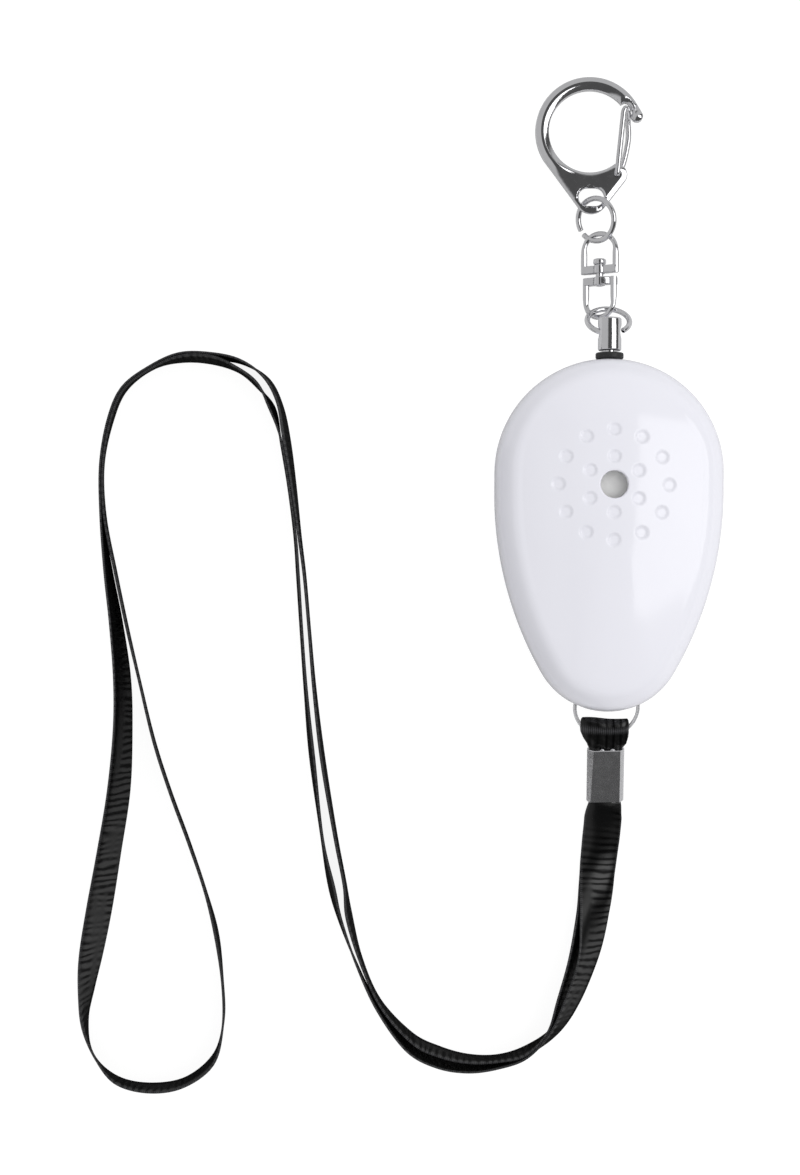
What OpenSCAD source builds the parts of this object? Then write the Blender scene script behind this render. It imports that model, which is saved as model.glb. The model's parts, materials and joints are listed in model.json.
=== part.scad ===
// Personal safety alarm: an egg-shaped sounder with a pull pin on a clip chain and a ribbon wrist strap.
// Millimetres. The back face lies on z = 0 below the sound hole, +Y runs to the clip and +Z is the front.

/* [Body] */
// Width of the body at its broadest
body_w = 44; // [43.5:0.1:45]
// Distance from the sound hole to the narrow end
body_tail = 43.3; // [43:0.1:44]
// Thickness from back face to front crown
body_h = 21; // [20.6:0.1:22.5]
// Wall thickness of both shells
wall = 1.8; // [1.6:0.1:1.9]

/* [Sound openings] */
// Diameter of the sound hole
hole_d = 5.2; // [4:0.1:6.4]
// Diameter of a dimple
dot_d = 2.6; // [2:0.1:3]
// Depth of a dimple below the crown
dot_depth = 0.5; // [0.3:0.1:0.7]

/* [Pull pin] */
// Diameter of the pin shank
pin_d = 2.4; // [2:0.1:2.5]
// Diameter of the pin head
head_d = 4.5; // [4.3:0.1:4.8]
// Length of the pin head
head_l = 6.4; // [6:0.1:6.8]

/* [Clip chain] */
// Wire diameter of the jump rings
link_wire = 1.1; // [0.9:0.05:1.1]
// Outside diameter of the jump rings
link_d = 9.3; // [9.2:0.05:9.4]
// Outside width of a swivel yoke
yoke_w = 7.4; // [7.3:0.05:7.5]
// Thickness of the clip's curved arm
clip_t = 2.6; // [2.2:0.1:2.8]
// Wire diameter of the clip gate
gate_wire = 1; // [0.8:0.1:1.1]

/* [Wrist strap] */
// Ribbon width
strap_w = 10; // [9:0.5:10.5]
// Ribbon thickness
strap_t = 0.6; // [0.4:0.1:0.7]
// Width of the crimp
crimp_w = 7.1; // [6.8:0.1:7.6]
// Wire diameter of the strap bail
bail_wire = 0.8; // [0.6:0.1:0.9]

/* [Hidden] */
$fn = 48;
wire_sides = 24;
part_z = 9;
half_w = body_w / 2;
crown_y = 2.7;
side_y = -1;
// Cutters run past a face by over, joined shapes lap
over = 1;
lap = 0.1;
tail_r = 14.56;
tail_y = tail_r - body_tail;
tail_len = side_y - tail_y;
side_r = (half_w * half_w + tail_len * tail_len - tail_r * tail_r) / (2 * (half_w - tail_r));
side_off = side_r - half_w;
side_ang = atan2(side_y - tail_y, side_off);
top_steps = 22;
side_steps = 7;
tail_steps = 14;
dome_y = -2;

// Shell profile: inset from the outline and height from the parting plane
profile_h = 12;
front_k = (body_h - part_z) / profile_h;
edge_in = 4.2;
curve_z = 8.2;
edge_z = curve_z * front_k;
crown = body_h - part_z - edge_z;
front_curve = [[0, 0], [0.12, 2], [0.45, 3.8], [1, 5.2], [1.8, 6.4], [2.9, 7.4]];
front_edge = [for (e = front_curve) [e[0], e[1] * front_k]];
hollow_curve = [[0, 0], [0.1, 2], [0.5, 3.8], [1.2, 5], [2.1, 5.9]];
front_hollow = [for (e = hollow_curve) [wall + e[0], e[1] * front_k]];
crown_wall = 1.6;
crown_thin = 0.3;
hollow_step = 0.8;
hollow_in = edge_in + hollow_step;
hollow_z = edge_z - crown_wall;
hollow_crown = crown - crown_thin;
dome_k = [0.88, 0.74, 0.58, 0.4, 0.2];
back_edge = [[0, 0], [0.1, -2.5], [0.5, -4.8], [1.4, -7], [2.8, -8.4], [4.6, -part_z]];
back_hollow = [[wall, 0], [wall + 0.2, -4], [wall + 1.2, -6.4]];
floor_in = 4.8;
floor_z = 1.6;

// Screws and bosses
boss_in = 6;
boss_y = 8.5;
boss_x = half_w - boss_in;
tail_screw_in = 11.3;
tail_screw_y = tail_screw_in - body_tail;
boss_sink = 0.4;
side_boss = part_z + hollow_z - boss_sink;
tail_boss = hollow_at([0, tail_screw_y]) + boss_sink;
screw_at = [[boss_x, boss_y, side_boss], [-boss_x, boss_y, side_boss], [0, tail_screw_y, tail_boss]];
screw_r = 1;
screw_head_r = 2.1;
screw_head_h = 1.4;
screw_seat = 4;
screw_top = 13;
cross_l = 1.2;
cross_w = 0.25;
cross_deep = 0.7;
thread_room = 0.5;
boss_r = 2.7;
back_boss_r = 2.8;
boss_base = 0.9;
thread_fit = 0.02;
easy_fit = 0.2;
snug_fit = 0.05;

// Sounder
dot_r1 = 5.25;
dot_r2 = 10.4;
dots_in = 6;
dots_out = 12;
plate_in = 8.7;
seat_ledge = 1.7;
rib_t = 1;
rib_sink = 0.6;
seat_deep = 5.1;
rib_hang = 1.9;
plate_r = half_w - plate_in;
seat_r = plate_r - seat_ledge;
rib_r1 = plate_r + easy_fit;
rib_r2 = rib_r1 + rib_t;
seat_z = body_h - seat_deep;
rib_low = seat_z - rib_hang;
rib_top = hollow_at([rib_r1, 0]) + rib_sink;
seat_top = hollow_at([seat_r, 0]) + rib_sink;
gasket_h = 0.4;
plate_h = 0.25;
ceramic_in = 3.8;
ceramic_r = plate_r - ceramic_in;
plate_z = seat_z - gasket_h - plate_h;
clamp_h = 1;
lead_in = 1;
lead_step = [2.1, -2.4];
lead_at = [[lead_in - ceramic_r, -lead_in], [lead_in - ceramic_r + lead_step[0], lead_step[1] - lead_in]];
lead_r = 0.45;

// Place of the pin on the body's broad end
collar_gap = 0.02;
collar_y = half_w + crown_y + collar_gap;
collar_h = 1.2;
pin_in = 11.52;
pin_tip = collar_y - pin_in;

// Board and what it carries
board_x = 9.5;
board_y1 = -11;
board_past = 5.8;
board_y2 = pin_tip + board_past;
board_z = 4.6;
board_t = 1;
board_top = board_z + board_t;
post_r = 1.4;
post_x = 7.5;
post_in = 3.5;
post_low = 2;
post_at = [[post_x, board_y2 - post_in], [-post_x, board_y2 - post_in], [0, board_y1 + post_low]];
coil_at = [5.4, -5];
coil_r = 3.5;
coil_flange = 1;
coil_h = 7;
coil_core = 1.5;
wind_r = 3.1;
wind_fit = 0.02;
chip_at = [-5, 3];
chip_x = 4;
chip_y = 5;
chip_h = 1.5;
chip_lift = 0.2;
chip_pitch = 1.2;
leg_reach = 0.4;
leg_half = 0.6;
lead_t = 0.3;
cap_at = [6, 5];
cap_r = 2.5;
cap_h = 7;
trans_at = [-3.6, -7];
trans_r = 2.3;
trans_h = 4.6;
trans_lift = 1.2;
trans_pitch = 1.27;

// Cells
cell_r = 5.8;
cell_h = 5.4;
cell_past = 11.5;
cell_y = tail_screw_y + cell_past;
cell_z = 8;
cell_gap = 0.04;
cell_cap_h = 0.7;
cell_cap_in = 1.6;
row_x = 1.5 * cell_h + 1.5 * cell_gap;
tab_t = 0.4;
tab_w = 7;
tab_z1 = 2.4;
tab_z2 = 12;
tab_x = row_x + snug_fit;
arm_z = 3.4;
arm_y = -9;
cradle_t = 1.2;
cradle_x = tab_x + tab_t + snug_fit;
cradle_gap = 0.3;
cradle_y = cell_r + cradle_gap;
cradle_open = 3;

// Pull pin, grommet and switch
pin_r = pin_d / 2;
pin_fit = 0.06;
tip_l = 1.2;
head_lift = 0.38;
head_y = collar_y + collar_h + head_lift;
head_r = head_d / 2;
head_bevel = 0.4;
ring_hole_r = 1.15;
ring_hole_up = 3.6;
ring_hole_y = head_y + ring_hole_up;
collar_r = 2.7;
neck_r = 2;
inner_collar = 1.2;
wall_slack = 0.55;
wall_y = collar_y - wall - wall_slack;
switch_x = 3.5;
switch_end = 1;
switch_l = 8.6;
switch_y1 = pin_tip - switch_end;
switch_y2 = switch_y1 + switch_l;
tip_room = 0.4;
switch_z2 = 11.8;
slot_x = 1.4;
slot_wall = 0.8;
slot_y1 = switch_y1 + slot_wall;
slot_y2 = switch_y2 - slot_wall;
slot_z = 7.2;
leaf_t = 0.25;
leaf_x = 1;
leaf_gap = 0.15;
leaf_z = part_z + pin_r + leaf_gap;
leaf_in = 0.3;
leaf_l = 6.1;
leaf_y1 = slot_y1 + leaf_in;
leaf_y2 = leaf_y1 + leaf_l;
fixed_drop = 0.75;
fixed_z = part_z + pin_r - fixed_drop;
fixed_y1 = switch_y1 + lap;
fixed_t = 0.5;

// Jump rings and swivel
link_r = (link_d - link_wire) / 2;
link_gap = 14;
pin_ring_tilt = 48;
pin_ring_slack = 0.3;
pin_ring_reach = link_r - pin_ring_slack;
pin_ring_cut = -58;
// Each next piece of the chain from the one before: across, along and height
swivel_step = [-1.45, 11.9, 2.9];
clip_ring_step = [-2.3, 10.85, 3.4];
clip_step = [-3.7, 17.15, 3.5];
swivel_at = swivel_step + [0, ring_hole_y, 0];
clip_ring_at = clip_ring_step + [0, swivel_at[1], 0];
clip_ring_tilt = 37.6;
clip_ring_lean = 14.4;
clip_ring_cut = 221;
yoke_wire = 1.1;
yoke_r = (yoke_w - yoke_wire) / 2;
yoke_l = 7.85;
yoke_base = 1.6;
yoke_side = yoke_w / 2 - lap;
yoke_deep = 2.2;
swivel_dip = 2.8;
swivel_gap = 0.8;
lower_roll = -30;
upper_roll = -24.5;
rivet_r = 0.75;
rivet_head_r = 1.4;
rivet_head_h = 1.6;
rivet_fit = 0.01;
spin_fit = 0.08;
head_gap = 0.12;

// Clip
clip_at = clip_step + [0, clip_ring_at[1], 0];
clip_out = 10.9;
clip_in = 8;
clip_bevel = 0.7;
clip_base = 1.5;
nose_ang = 14;
arm_sweep = 218;
notch_over = 10;
base_plan = [[-9.9, -4.5], [-8.6, -7.4], [-2.4, -15.1], [3.1, -14.3], [6.7, -9.6], [6.4, -7.4], [0, -4]];
notch_r = 9.35;
notch_ang = 37;
eye_at = [0.4, -12.8];
eye_r = 1.85;
eye_half = 1.05;
eye_rim = 3.3;
ear_at = [5.3, -8.4];
ear_r = 1.5;
ear_hole = 0.08;
gate_tip = [7, 4.4];
gate_bow = [7.7, -1.3];
gate_off = 0.2;
gate_bead = 0.03;

// Bail, fold and crimp
bail_in = 0.8;
bail_at = [0, bail_in - body_tail, part_z];
bail_r = 6.1;
bail_dip = 20.7;
slot_w = 1.9;
slot_out = 0.7;
slot_low = 1.5;
slot_half = 1.7;
slot_len = 5;
stake_in = 3.2;
stake_y = bail_at[1] + stake_in;
stake_r = 1.4;
fold_w = 9.5;
fold_in = 0.75;
fold_top = -2.3;
fold_low = -8.6;
fold_taper = 1.4;
fold_web = 0.9;
crimp_y = -8.7;
crimp_l = 11.2;
crimp_t = 2.6;
crimp_sheet = 0.5;
crimp_clear = 0.06;
tail_slack = 0.04;
tail_half = strap_t + tail_slack;
floor_gap = 0.05;

// Strap route from the bail: x, y, roll of the ribbon from flat, gap between the two ribbons' middles, lift
run = [
  [0, -19.4, 0, 0.8, 0.9], [-0.2, -24, 4, 1, 0.2], [-0.8, -30.5, 12, 1.3, 0], [-1.7, -39.5, 28, 1.5, 0],
  [-3.4, -48.5, 48, 1.5, 0], [-6.3, -57.5, 68, 1.4, 0], [-9.7, -63.5, 80, 1.3, 0],
  [-14.5, -68, 86, 1.2, 0], [-20, -70.2, 88, 1.2, 0], [-26, -70.3, 90, 1.2, 0], [-32, -69, 90, 1.2, 0],
  [-37.6, -66, 90, 1.2, 0], [-44, -59, 88, 1.2, 0], [-48, -50.5, 88, 1.3, 0], [-51.5, -35.5, 87, 1.6, 0],
  [-55, -15.5, 87, 2, 0], [-57.2, 2.5, 87, 2, 0], [-59.2, 24.5, 87, 1.6, 0], [-61.3, 42.5, 88, 1.2, 0],
  [-62.6, 51.5, 90, 1.6, 0], [-64.4, 58.1, 90, 2.4, 0], [-67.4, 62.5, 90, 2.8, 0],
  [-71.6, 65.7, 90, 2.4, 0], [-77, 67.4, 90, 1.6, 0], [-83, 67.5, 90, 1.1, 0], [-89, 65.9, 90, 1, 0],
  [-94.4, 61.5, 90, 1, 0], [-97.4, 55.5, 90, 1, 0], [-98.5, 46.5, 90, 1.1, 0], [-98.2, 36.5, 88, 1.4, 0]
];
// Wrist loop on from the long run: x, y, roll
loop = [
  [-97.8, 25.5, 82], [-96.6, 15.5, 76], [-95.4, 4.5, 72], [-95, -5.5, 70], [-95.4, -17.5, 68],
  [-96.8, -29.5, 67], [-98.4, -40.5, 68], [-100, -49.5, 71], [-100.9, -56.5, 76], [-100.6, -62.9, 82],
  [-98.5, -69, 87], [-94.4, -73.7, 90], [-88.2, -75.5, 90], [-81.6, -73.8, 90], [-76, -69.3, 90],
  [-74, -62.5, 90], [-74, -54.5, 91], [-75.2, -45.5, 92], [-77.6, -36.5, 92], [-80.9, -27, 92],
  [-84.6, -17.5, 92], [-88, -7.5, 92], [-91.2, 4.5, 92], [-93.6, 14.5, 92], [-95.6, 25.5, 92]
];

function ray(a) = [cos(a), sin(a)];
function arc(c, r, a0, a1, n) = [for (i = [0 : n - 1]) c + r * ray(a0 + (a1 - a0) * i / n)];
function egg(d) = concat(
  arc([0, crown_y], half_w - d, 0, 180, top_steps),
  [[-half_w + d, crown_y]],
  arc([side_off, side_y], side_r - d, 180, 180 + side_ang, side_steps),
  arc([0, tail_y], tail_r - d, 180 + side_ang, 360 - side_ang, tail_steps),
  arc([-side_off, side_y], side_r - d, -side_ang, 0, side_steps),
  [[half_w - d, side_y]]
);
function level(pts, z) = [for (p = pts) [p[0], p[1], z]];
function shrink(pts, k) = [for (p = pts) [p[0] * k, dome_y + (p[1] - dome_y) * k]];
function edge_rings(prof) = [for (e = prof) level(egg(e[0]), part_z + e[1])];
function dome_rings(d, z, rise) = [for (k = concat([1], dome_k))
  level(shrink(egg(d), k), z + rise * (1 - k * k))];
// Share of the way from the dome's middle to its edge
function dome_part(p, pts) = max([for (i = [0 : len(pts) - 1])
  let (a = pts[i] - [0, dome_y], b = pts[(i + 1) % len(pts)] - [0, dome_y], n = [b[1] - a[1], a[0] - b[0]])
  (n * (p - [0, dome_y])) / max(n * a, 0.001)]);
function dome_at(p, d, z, rise) = part_z + z + rise * (1 - pow(dome_part(p, egg(d)), 2));
function front_at(p) = dome_at(p, edge_in, edge_z, crown);
function hollow_at(p) = dome_at(p, hollow_in, hollow_z, hollow_crown);
function turned(l) = [for (i = [len(l) - 1 : -1 : 0]) l[i]];

// Skin over a stack of rings, closed by the first and the last
module skin(rings) {
  n = len(rings[0]);
  m = len(rings);
  pts = [for (r = rings) for (p = r) p];
  sides = [for (j = [0 : m - 2]) for (i = [0 : n - 1]) for (t = [0, 1])
    t == 0 ? [j * n + i, j * n + (i + 1) % n, (j + 1) * n + (i + 1) % n]
      : [j * n + i, (j + 1) * n + (i + 1) % n, (j + 1) * n + i]];
  first = [[for (i = [n - 1 : -1 : 0]) i]];
  last = [[for (i = [0 : n - 1]) (m - 1) * n + i]];
  polyhedron(points = pts, faces = [for (f = concat(first, sides, last)) turned(f)], convexity = 8);
}

module along_y(y1, y2, r) {
  translate([0, y1, 0]) rotate([-90, 0, 0]) cylinder(h = y2 - y1, r = r);
}
module along_x(x1, x2, r) {
  translate([x1, 0, 0]) rotate([0, 90, 0]) cylinder(h = x2 - x1, r = r);
}
module rod(a, b, r) {
  v = b - a;
  translate(a) rotate([0, acos(v[2] / norm(v)), atan2(v[1], v[0])]) cylinder(h = norm(v), r = r);
}
// Closed loop of straight wires with a bead at each corner
module wire_loop(pts, r, bead) {
  n = len(pts);
  for (i = [0 : n - 1]) rod(pts[i], pts[(i + 1) % n], r);
  for (p = pts) translate(p) sphere(r = bead);
}
module pipe(r2, r1, z1, z2) {
  translate([0, 0, z1]) difference() {
    cylinder(h = z2 - z1, r = r2);
    translate([0, 0, -1]) cylinder(h = z2 - z1 + 2, r = r1);
  }
}
module block(x1, x2, y1, y2, z1, z2) {
  translate([x1, y1, z1]) cube([x2 - x1, y2 - y1, z2 - z1]);
}

// Openings cut through both shells at the parting plane
module shell_cuts() {
  translate([0, 0, part_z]) along_y(wall_y - 2 * over, collar_y + over, neck_r + snug_fit);
  for (s = [-1, 1]) block(s * bail_r - (s > 0 ? slot_w : slot_out), s * bail_r + (s > 0 ? slot_out : slot_w),
    bail_at[1] - slot_low, bail_at[1] - slot_low + slot_len, part_z - slot_half, part_z + slot_half);
}

module dimple(p) {
  translate([p[0], p[1], front_at(p) - dot_depth]) cylinder(h = body_h, r = dot_d / 2);
}

module front_shell() color("white") difference() {
  union() {
    skin(concat(
      turned(dome_rings(hollow_in, part_z + hollow_z, hollow_crown)),
      turned(edge_rings(front_hollow)),
      edge_rings(front_edge),
      dome_rings(edge_in, part_z + edge_z, crown)));
    for (p = screw_at) translate([p[0], p[1], part_z]) cylinder(h = p[2] - part_z, r = boss_r);
    pipe(rib_r2, rib_r1, rib_low, rib_top);
    pipe(rib_r1 + lap, seat_r, seat_z, seat_top);
    translate([0, stake_y, part_z]) cylinder(h = side_boss - part_z, r = stake_r);
  }
  translate([0, 0, seat_z]) cylinder(h = body_h, r = hole_d / 2);
  for (i = [0 : dots_in - 1]) dimple(dot_r1 * ray(180 / dots_in + 360 * i / dots_in));
  for (i = [0 : dots_out - 1]) dimple(dot_r2 * ray(360 * i / dots_out));
  for (p = screw_at) translate([p[0], p[1], part_z - over])
    cylinder(h = screw_top - part_z + over + thread_room, r = screw_r + thread_fit);
  shell_cuts();
}

module back_shell() color("white") difference() {
  union() {
    skin(turned(concat(
      [level(egg(floor_in), floor_z)],
      turned(edge_rings(back_hollow)),
      edge_rings(back_edge))));
    for (p = screw_at) translate([p[0], p[1], boss_base]) cylinder(h = part_z - boss_base, r = back_boss_r);
    for (p = post_at) translate([p[0], p[1], boss_base]) cylinder(h = board_z - boss_base, r = post_r);
    translate([0, stake_y, boss_base]) cylinder(h = part_z - boss_base, r = stake_r);
    for (s = [-1, 1]) {
      block(s > 0 ? cradle_x : -cradle_x - cradle_t, s > 0 ? cradle_x + cradle_t : -cradle_x,
        cell_y - cradle_y, cell_y + cradle_y - cradle_open, boss_base, part_z);
      block(-cradle_x - cradle_t, cradle_x + cradle_t, cell_y + s * (cradle_y + cradle_t / 2) - cradle_t / 2,
        cell_y + s * (cradle_y + cradle_t / 2) + cradle_t / 2, boss_base, arm_z - easy_fit);
    }
  }
  for (p = screw_at) translate([p[0], p[1], -over]) {
    cylinder(h = part_z + 2 * over, r = screw_r + easy_fit);
    cylinder(h = screw_seat + over, r = screw_head_r + easy_fit);
  }
  shell_cuts();
}

module shell_screws() color("silver") for (p = screw_at) translate([p[0], p[1], 0]) difference() {
  union() {
    translate([0, 0, screw_seat - screw_head_h]) cylinder(h = screw_head_h, r = screw_head_r);
    translate([0, 0, screw_seat - lap]) cylinder(h = screw_top - screw_seat, r = screw_r);
  }
  for (a = [0, 90]) rotate(a)
    block(-cross_l, cross_l, -cross_w, cross_w, screw_seat - screw_head_h - over, screw_seat - cross_deep);
}

module pin_grommet() color("black") translate([0, 0, part_z]) difference() {
  union() {
    along_y(collar_y, collar_y + collar_h, collar_r);
    along_y(wall_y - inner_collar, collar_y + lap, neck_r);
    along_y(wall_y - inner_collar, wall_y, collar_r);
  }
  along_y(wall_y - inner_collar - over, collar_y + collar_h + over, pin_r + pin_fit);
}

module sounder_gasket() color("gray") pipe(plate_r, seat_r, seat_z - gasket_h, seat_z);
module sounder_plate() color("lightgray") translate([0, 0, plate_z]) cylinder(h = plate_h, r = plate_r);
module sounder_ceramic() color("ivory")
  translate([0, 0, plate_z - plate_h]) cylinder(h = plate_h, r = ceramic_r);
module sounder_clamp() color("dimgray") pipe(rib_r1 - snug_fit, seat_r - 1, plate_z - clamp_h, plate_z);
module sounder_leads() color("red") for (p = lead_at) translate([p[0], p[1], board_top])
  cylinder(h = plate_z - plate_h - board_top, r = lead_r);

module circuit_board() color("darkgreen") block(-board_x, board_x, board_y1, board_y2, board_z, board_top);

module coil_core() color("dimgray") translate([coil_at[0], coil_at[1], board_top]) {
  cylinder(h = coil_flange, r = coil_r);
  cylinder(h = coil_h, r = coil_core);
  translate([0, 0, coil_h - coil_flange]) cylinder(h = coil_flange, r = coil_r);
}
module coil_winding() color("peru") translate([coil_at[0], coil_at[1], board_top])
  pipe(wind_r, coil_core + wind_fit, coil_flange + wind_fit, coil_h - coil_flange - wind_fit);

module driver_chip() color("black") translate([chip_at[0], chip_at[1], board_top]) {
  block(-chip_x / 2, chip_x / 2, -chip_y / 2, chip_y / 2, chip_lift, chip_h);
  for (s = [-1, 1]) for (i = [-1.5 : 1.5]) translate([s * (chip_x / 2 + leg_reach), i * chip_pitch, 0])
    block(-leg_half, leg_half, -lead_t, lead_t, 0, lead_t + chip_lift);
}
module capacitor() color("navy") translate([cap_at[0], cap_at[1], board_top]) cylinder(h = cap_h, r = cap_r);
module transistor() color("black") translate([trans_at[0], trans_at[1], board_top]) {
  translate([0, 0, trans_lift]) difference() {
    cylinder(h = trans_h, r = trans_r);
    block(-trans_r - over, trans_r + over, trans_r / 2, trans_r + over, -over, trans_h + over);
  }
  for (i = [-1 : 1]) translate([trans_pitch * i, 0, 0]) cylinder(h = trans_lift + lap, r = lead_t);
}

module button_cells() color("silver") for (i = [-1 : 1]) translate([i * (cell_h + cell_gap), cell_y, cell_z]) {
  along_x(-cell_h / 2, cell_h / 2 - cell_cap_h, cell_r);
  along_x(cell_h / 2 - cell_cap_h - lap, cell_h / 2, cell_r - cell_cap_in);
}
module contact(s) {
  x1 = s > 0 ? tab_x : -tab_x - tab_t;
  block(x1, x1 + tab_t, cell_y - tab_w / 2, cell_y + tab_w / 2, tab_z1, tab_z2);
  block(x1, x1 + tab_t, cell_y, arm_y, arm_z, board_z);
}
module contact_plus() color("silver") contact(1);
module contact_minus() color("silver") contact(-1);

module switch_block() color("black") difference() {
  block(-switch_x, switch_x, switch_y1, switch_y2, board_top, switch_z2);
  translate([0, 0, part_z]) along_y(pin_tip - tip_room, switch_y2 + over, pin_r + pin_fit);
  block(-slot_x, slot_x, slot_y1, slot_y2, slot_z, switch_z2 + over);
  block(-slot_x, slot_x, switch_y1 - over, slot_y1 + over, fixed_z - fixed_t, switch_z2 + over);
}
module switch_leaf() color("goldenrod") block(-leaf_x, leaf_x, leaf_y1, leaf_y2, leaf_z, leaf_z + leaf_t);
module switch_fixed() color("goldenrod")
  block(-leaf_x, leaf_x, fixed_y1, slot_y1 + lap, fixed_z - fixed_t, fixed_z);

module pull_pin() color("silver") translate([0, 0, part_z]) difference() {
  union() {
    along_y(pin_tip + tip_l, head_y + over, pin_r);
    translate([0, pin_tip, 0]) rotate([-90, 0, 0]) cylinder(h = tip_l, r1 = pin_r / 2, r2 = pin_r);
    along_y(head_y + head_bevel, head_y + head_l - head_bevel, head_r);
    translate([0, head_y, 0]) rotate([-90, 0, 0])
      cylinder(h = head_bevel, r1 = head_r - head_bevel, r2 = head_r);
    translate([0, head_y + head_l - head_bevel, 0]) rotate([-90, 0, 0])
      cylinder(h = head_bevel, r1 = head_r, r2 = head_r - head_bevel);
  }
  translate([0, ring_hole_y, 0]) along_x(-head_r - over, head_r + over, ring_hole_r);
}

// Open ring of round wire
module link(cut) {
  rotate(cut + link_gap / 2) rotate_extrude(angle = 360 - link_gap) translate([link_r, 0])
    circle(d = link_wire, $fn = wire_sides);
}
module pin_ring() color("silver") translate([0, ring_hole_y, part_z]) rotate([-pin_ring_tilt, 0, 0])
  translate([0, pin_ring_reach, 0]) link(pin_ring_cut);
module clip_ring() color("silver") translate(clip_ring_at) rotate([clip_ring_lean, 0, 0])
  rotate([0, -clip_ring_tilt, 0]) link(clip_ring_cut);

// Yoke with its bow at the origin and its bored base up the axis
module yoke(hole) {
  translate([0, yoke_r, 0]) rotate(180) rotate_extrude(angle = 180) translate([yoke_r, 0])
    circle(d = yoke_wire, $fn = wire_sides);
  for (s = [-1, 1]) translate([s * yoke_r, 0, 0]) along_y(yoke_r, yoke_l - yoke_base / 2, yoke_wire / 2);
  difference() {
    block(-yoke_side, yoke_side, yoke_l - yoke_base, yoke_l, -yoke_deep / 2, yoke_deep / 2);
    along_y(yoke_l - yoke_base - over, yoke_l + over, hole);
  }
}
module on_swivel() {
  translate(swivel_at) rotate([-swivel_dip, 0, 0]) children();
}
module yoke_lower() color("silver") on_swivel() rotate([0, lower_roll, 0])
  translate([0, -swivel_gap / 2 - yoke_l, 0]) yoke(rivet_r + rivet_fit);
module yoke_upper() color("silver") on_swivel() rotate([0, upper_roll, 180])
  translate([0, -swivel_gap / 2 - yoke_l, 0]) yoke(rivet_r + spin_fit);
module swivel_rivet() color("silver") on_swivel() {
  base_y = swivel_gap / 2 + yoke_base;
  along_y(-base_y, base_y + head_gap + lap, rivet_r);
  along_y(base_y + head_gap, base_y + head_gap + rivet_head_h, rivet_head_r);
}

module clip_base_plan() {
  difference() {
    union() {
      polygon(base_plan);
      translate(eye_at) circle(r = eye_rim);
      translate(ear_at) circle(r = ear_r);
    }
    circle(r = clip_in);
    for (s = [-1, 1]) translate([eye_at[0] + s * eye_half, eye_at[1]]) circle(r = eye_r);
    translate([eye_at[0] - eye_half, eye_at[1] - eye_r]) square([2 * eye_half, 2 * eye_r]);
    translate(ear_at) circle(d = gate_wire + 2 * ear_hole);
  }
}
module clip_hook() color("silver") translate(clip_at) {
  flank = clip_t / 2 - clip_bevel;
  difference() {
    rotate(nose_ang) rotate_extrude(angle = arm_sweep) polygon([
      [clip_in, -flank], [clip_in + clip_bevel, -clip_t / 2], [clip_out - clip_bevel, -clip_t / 2],
      [clip_out, -flank], [clip_out, flank], [clip_out - clip_bevel, clip_t / 2],
      [clip_in + clip_bevel, clip_t / 2], [clip_in, flank]]);
    rotate(nose_ang - notch_over) rotate_extrude(angle = notch_ang - nose_ang + notch_over)
      translate([clip_in - over, -clip_t]) square([notch_r - clip_in + over, 2 * clip_t]);
  }
  translate([0, 0, -clip_base / 2]) linear_extrude(clip_base) clip_base_plan();
}
module clip_gate() color("silver") translate(clip_at) {
  gz = clip_base / 2 + gate_off + gate_wire / 2;
  wire_loop([[ear_at[0], ear_at[1], gz], [gate_tip[0], gate_tip[1], gz], [gate_tip[0], gate_tip[1], -gz],
    [gate_bow[0], gate_bow[1], -gz], [ear_at[0], ear_at[1], -gz]], gate_wire / 2, gate_wire / 2 + gate_bead);
}

module on_bail() {
  translate(bail_at) rotate([bail_dip, 0, 0]) children();
}
module strap_bail() color("silver") on_bail() rotate_extrude() translate([bail_r, 0])
  circle(d = bail_wire, $fn = wire_sides);
module strap_fold() color("black") on_bail() {
  roll_y = fold_top - fold_in - strap_t;
  roll_r = fold_in + strap_t;
  neck_y = fold_low + fold_taper;
  rotate([90, 0, 90]) translate([0, 0, -fold_w / 2]) linear_extrude(fold_w) difference() {
    union() {
      translate([roll_y, 0]) circle(r = roll_r);
      polygon([[roll_y, roll_r], [neck_y, roll_r], [fold_low, tail_half],
        [fold_low, -tail_half], [neck_y, -roll_r], [roll_y, -roll_r]]);
    }
    translate([roll_y, 0]) circle(r = fold_in);
    polygon([[roll_y, fold_in], [neck_y, fold_in], [fold_low + fold_web, 0],
      [neck_y, -fold_in], [roll_y, -fold_in]]);
  }
  block(-crimp_w / 2 + crimp_sheet + crimp_clear, crimp_w / 2 - crimp_sheet - crimp_clear,
    crimp_y - crimp_l, fold_low + lap, -tail_half, tail_half);
}
module strap_crimp() color("gray") on_bail() {
  flat_x = (crimp_w - crimp_t) / 2;
  difference() {
    union() {
      block(-flat_x, flat_x, crimp_y - crimp_l, crimp_y, -crimp_t / 2, crimp_t / 2);
      for (s = [-1, 1]) translate([s * flat_x, 0, 0]) along_y(crimp_y - crimp_l, crimp_y, crimp_t / 2);
    }
    block(-crimp_w / 2 + crimp_sheet, crimp_w / 2 - crimp_sheet, crimp_y - crimp_l - over, crimp_y + over,
      -tail_half - crimp_clear, tail_half + crimp_clear);
  }
}

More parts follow.
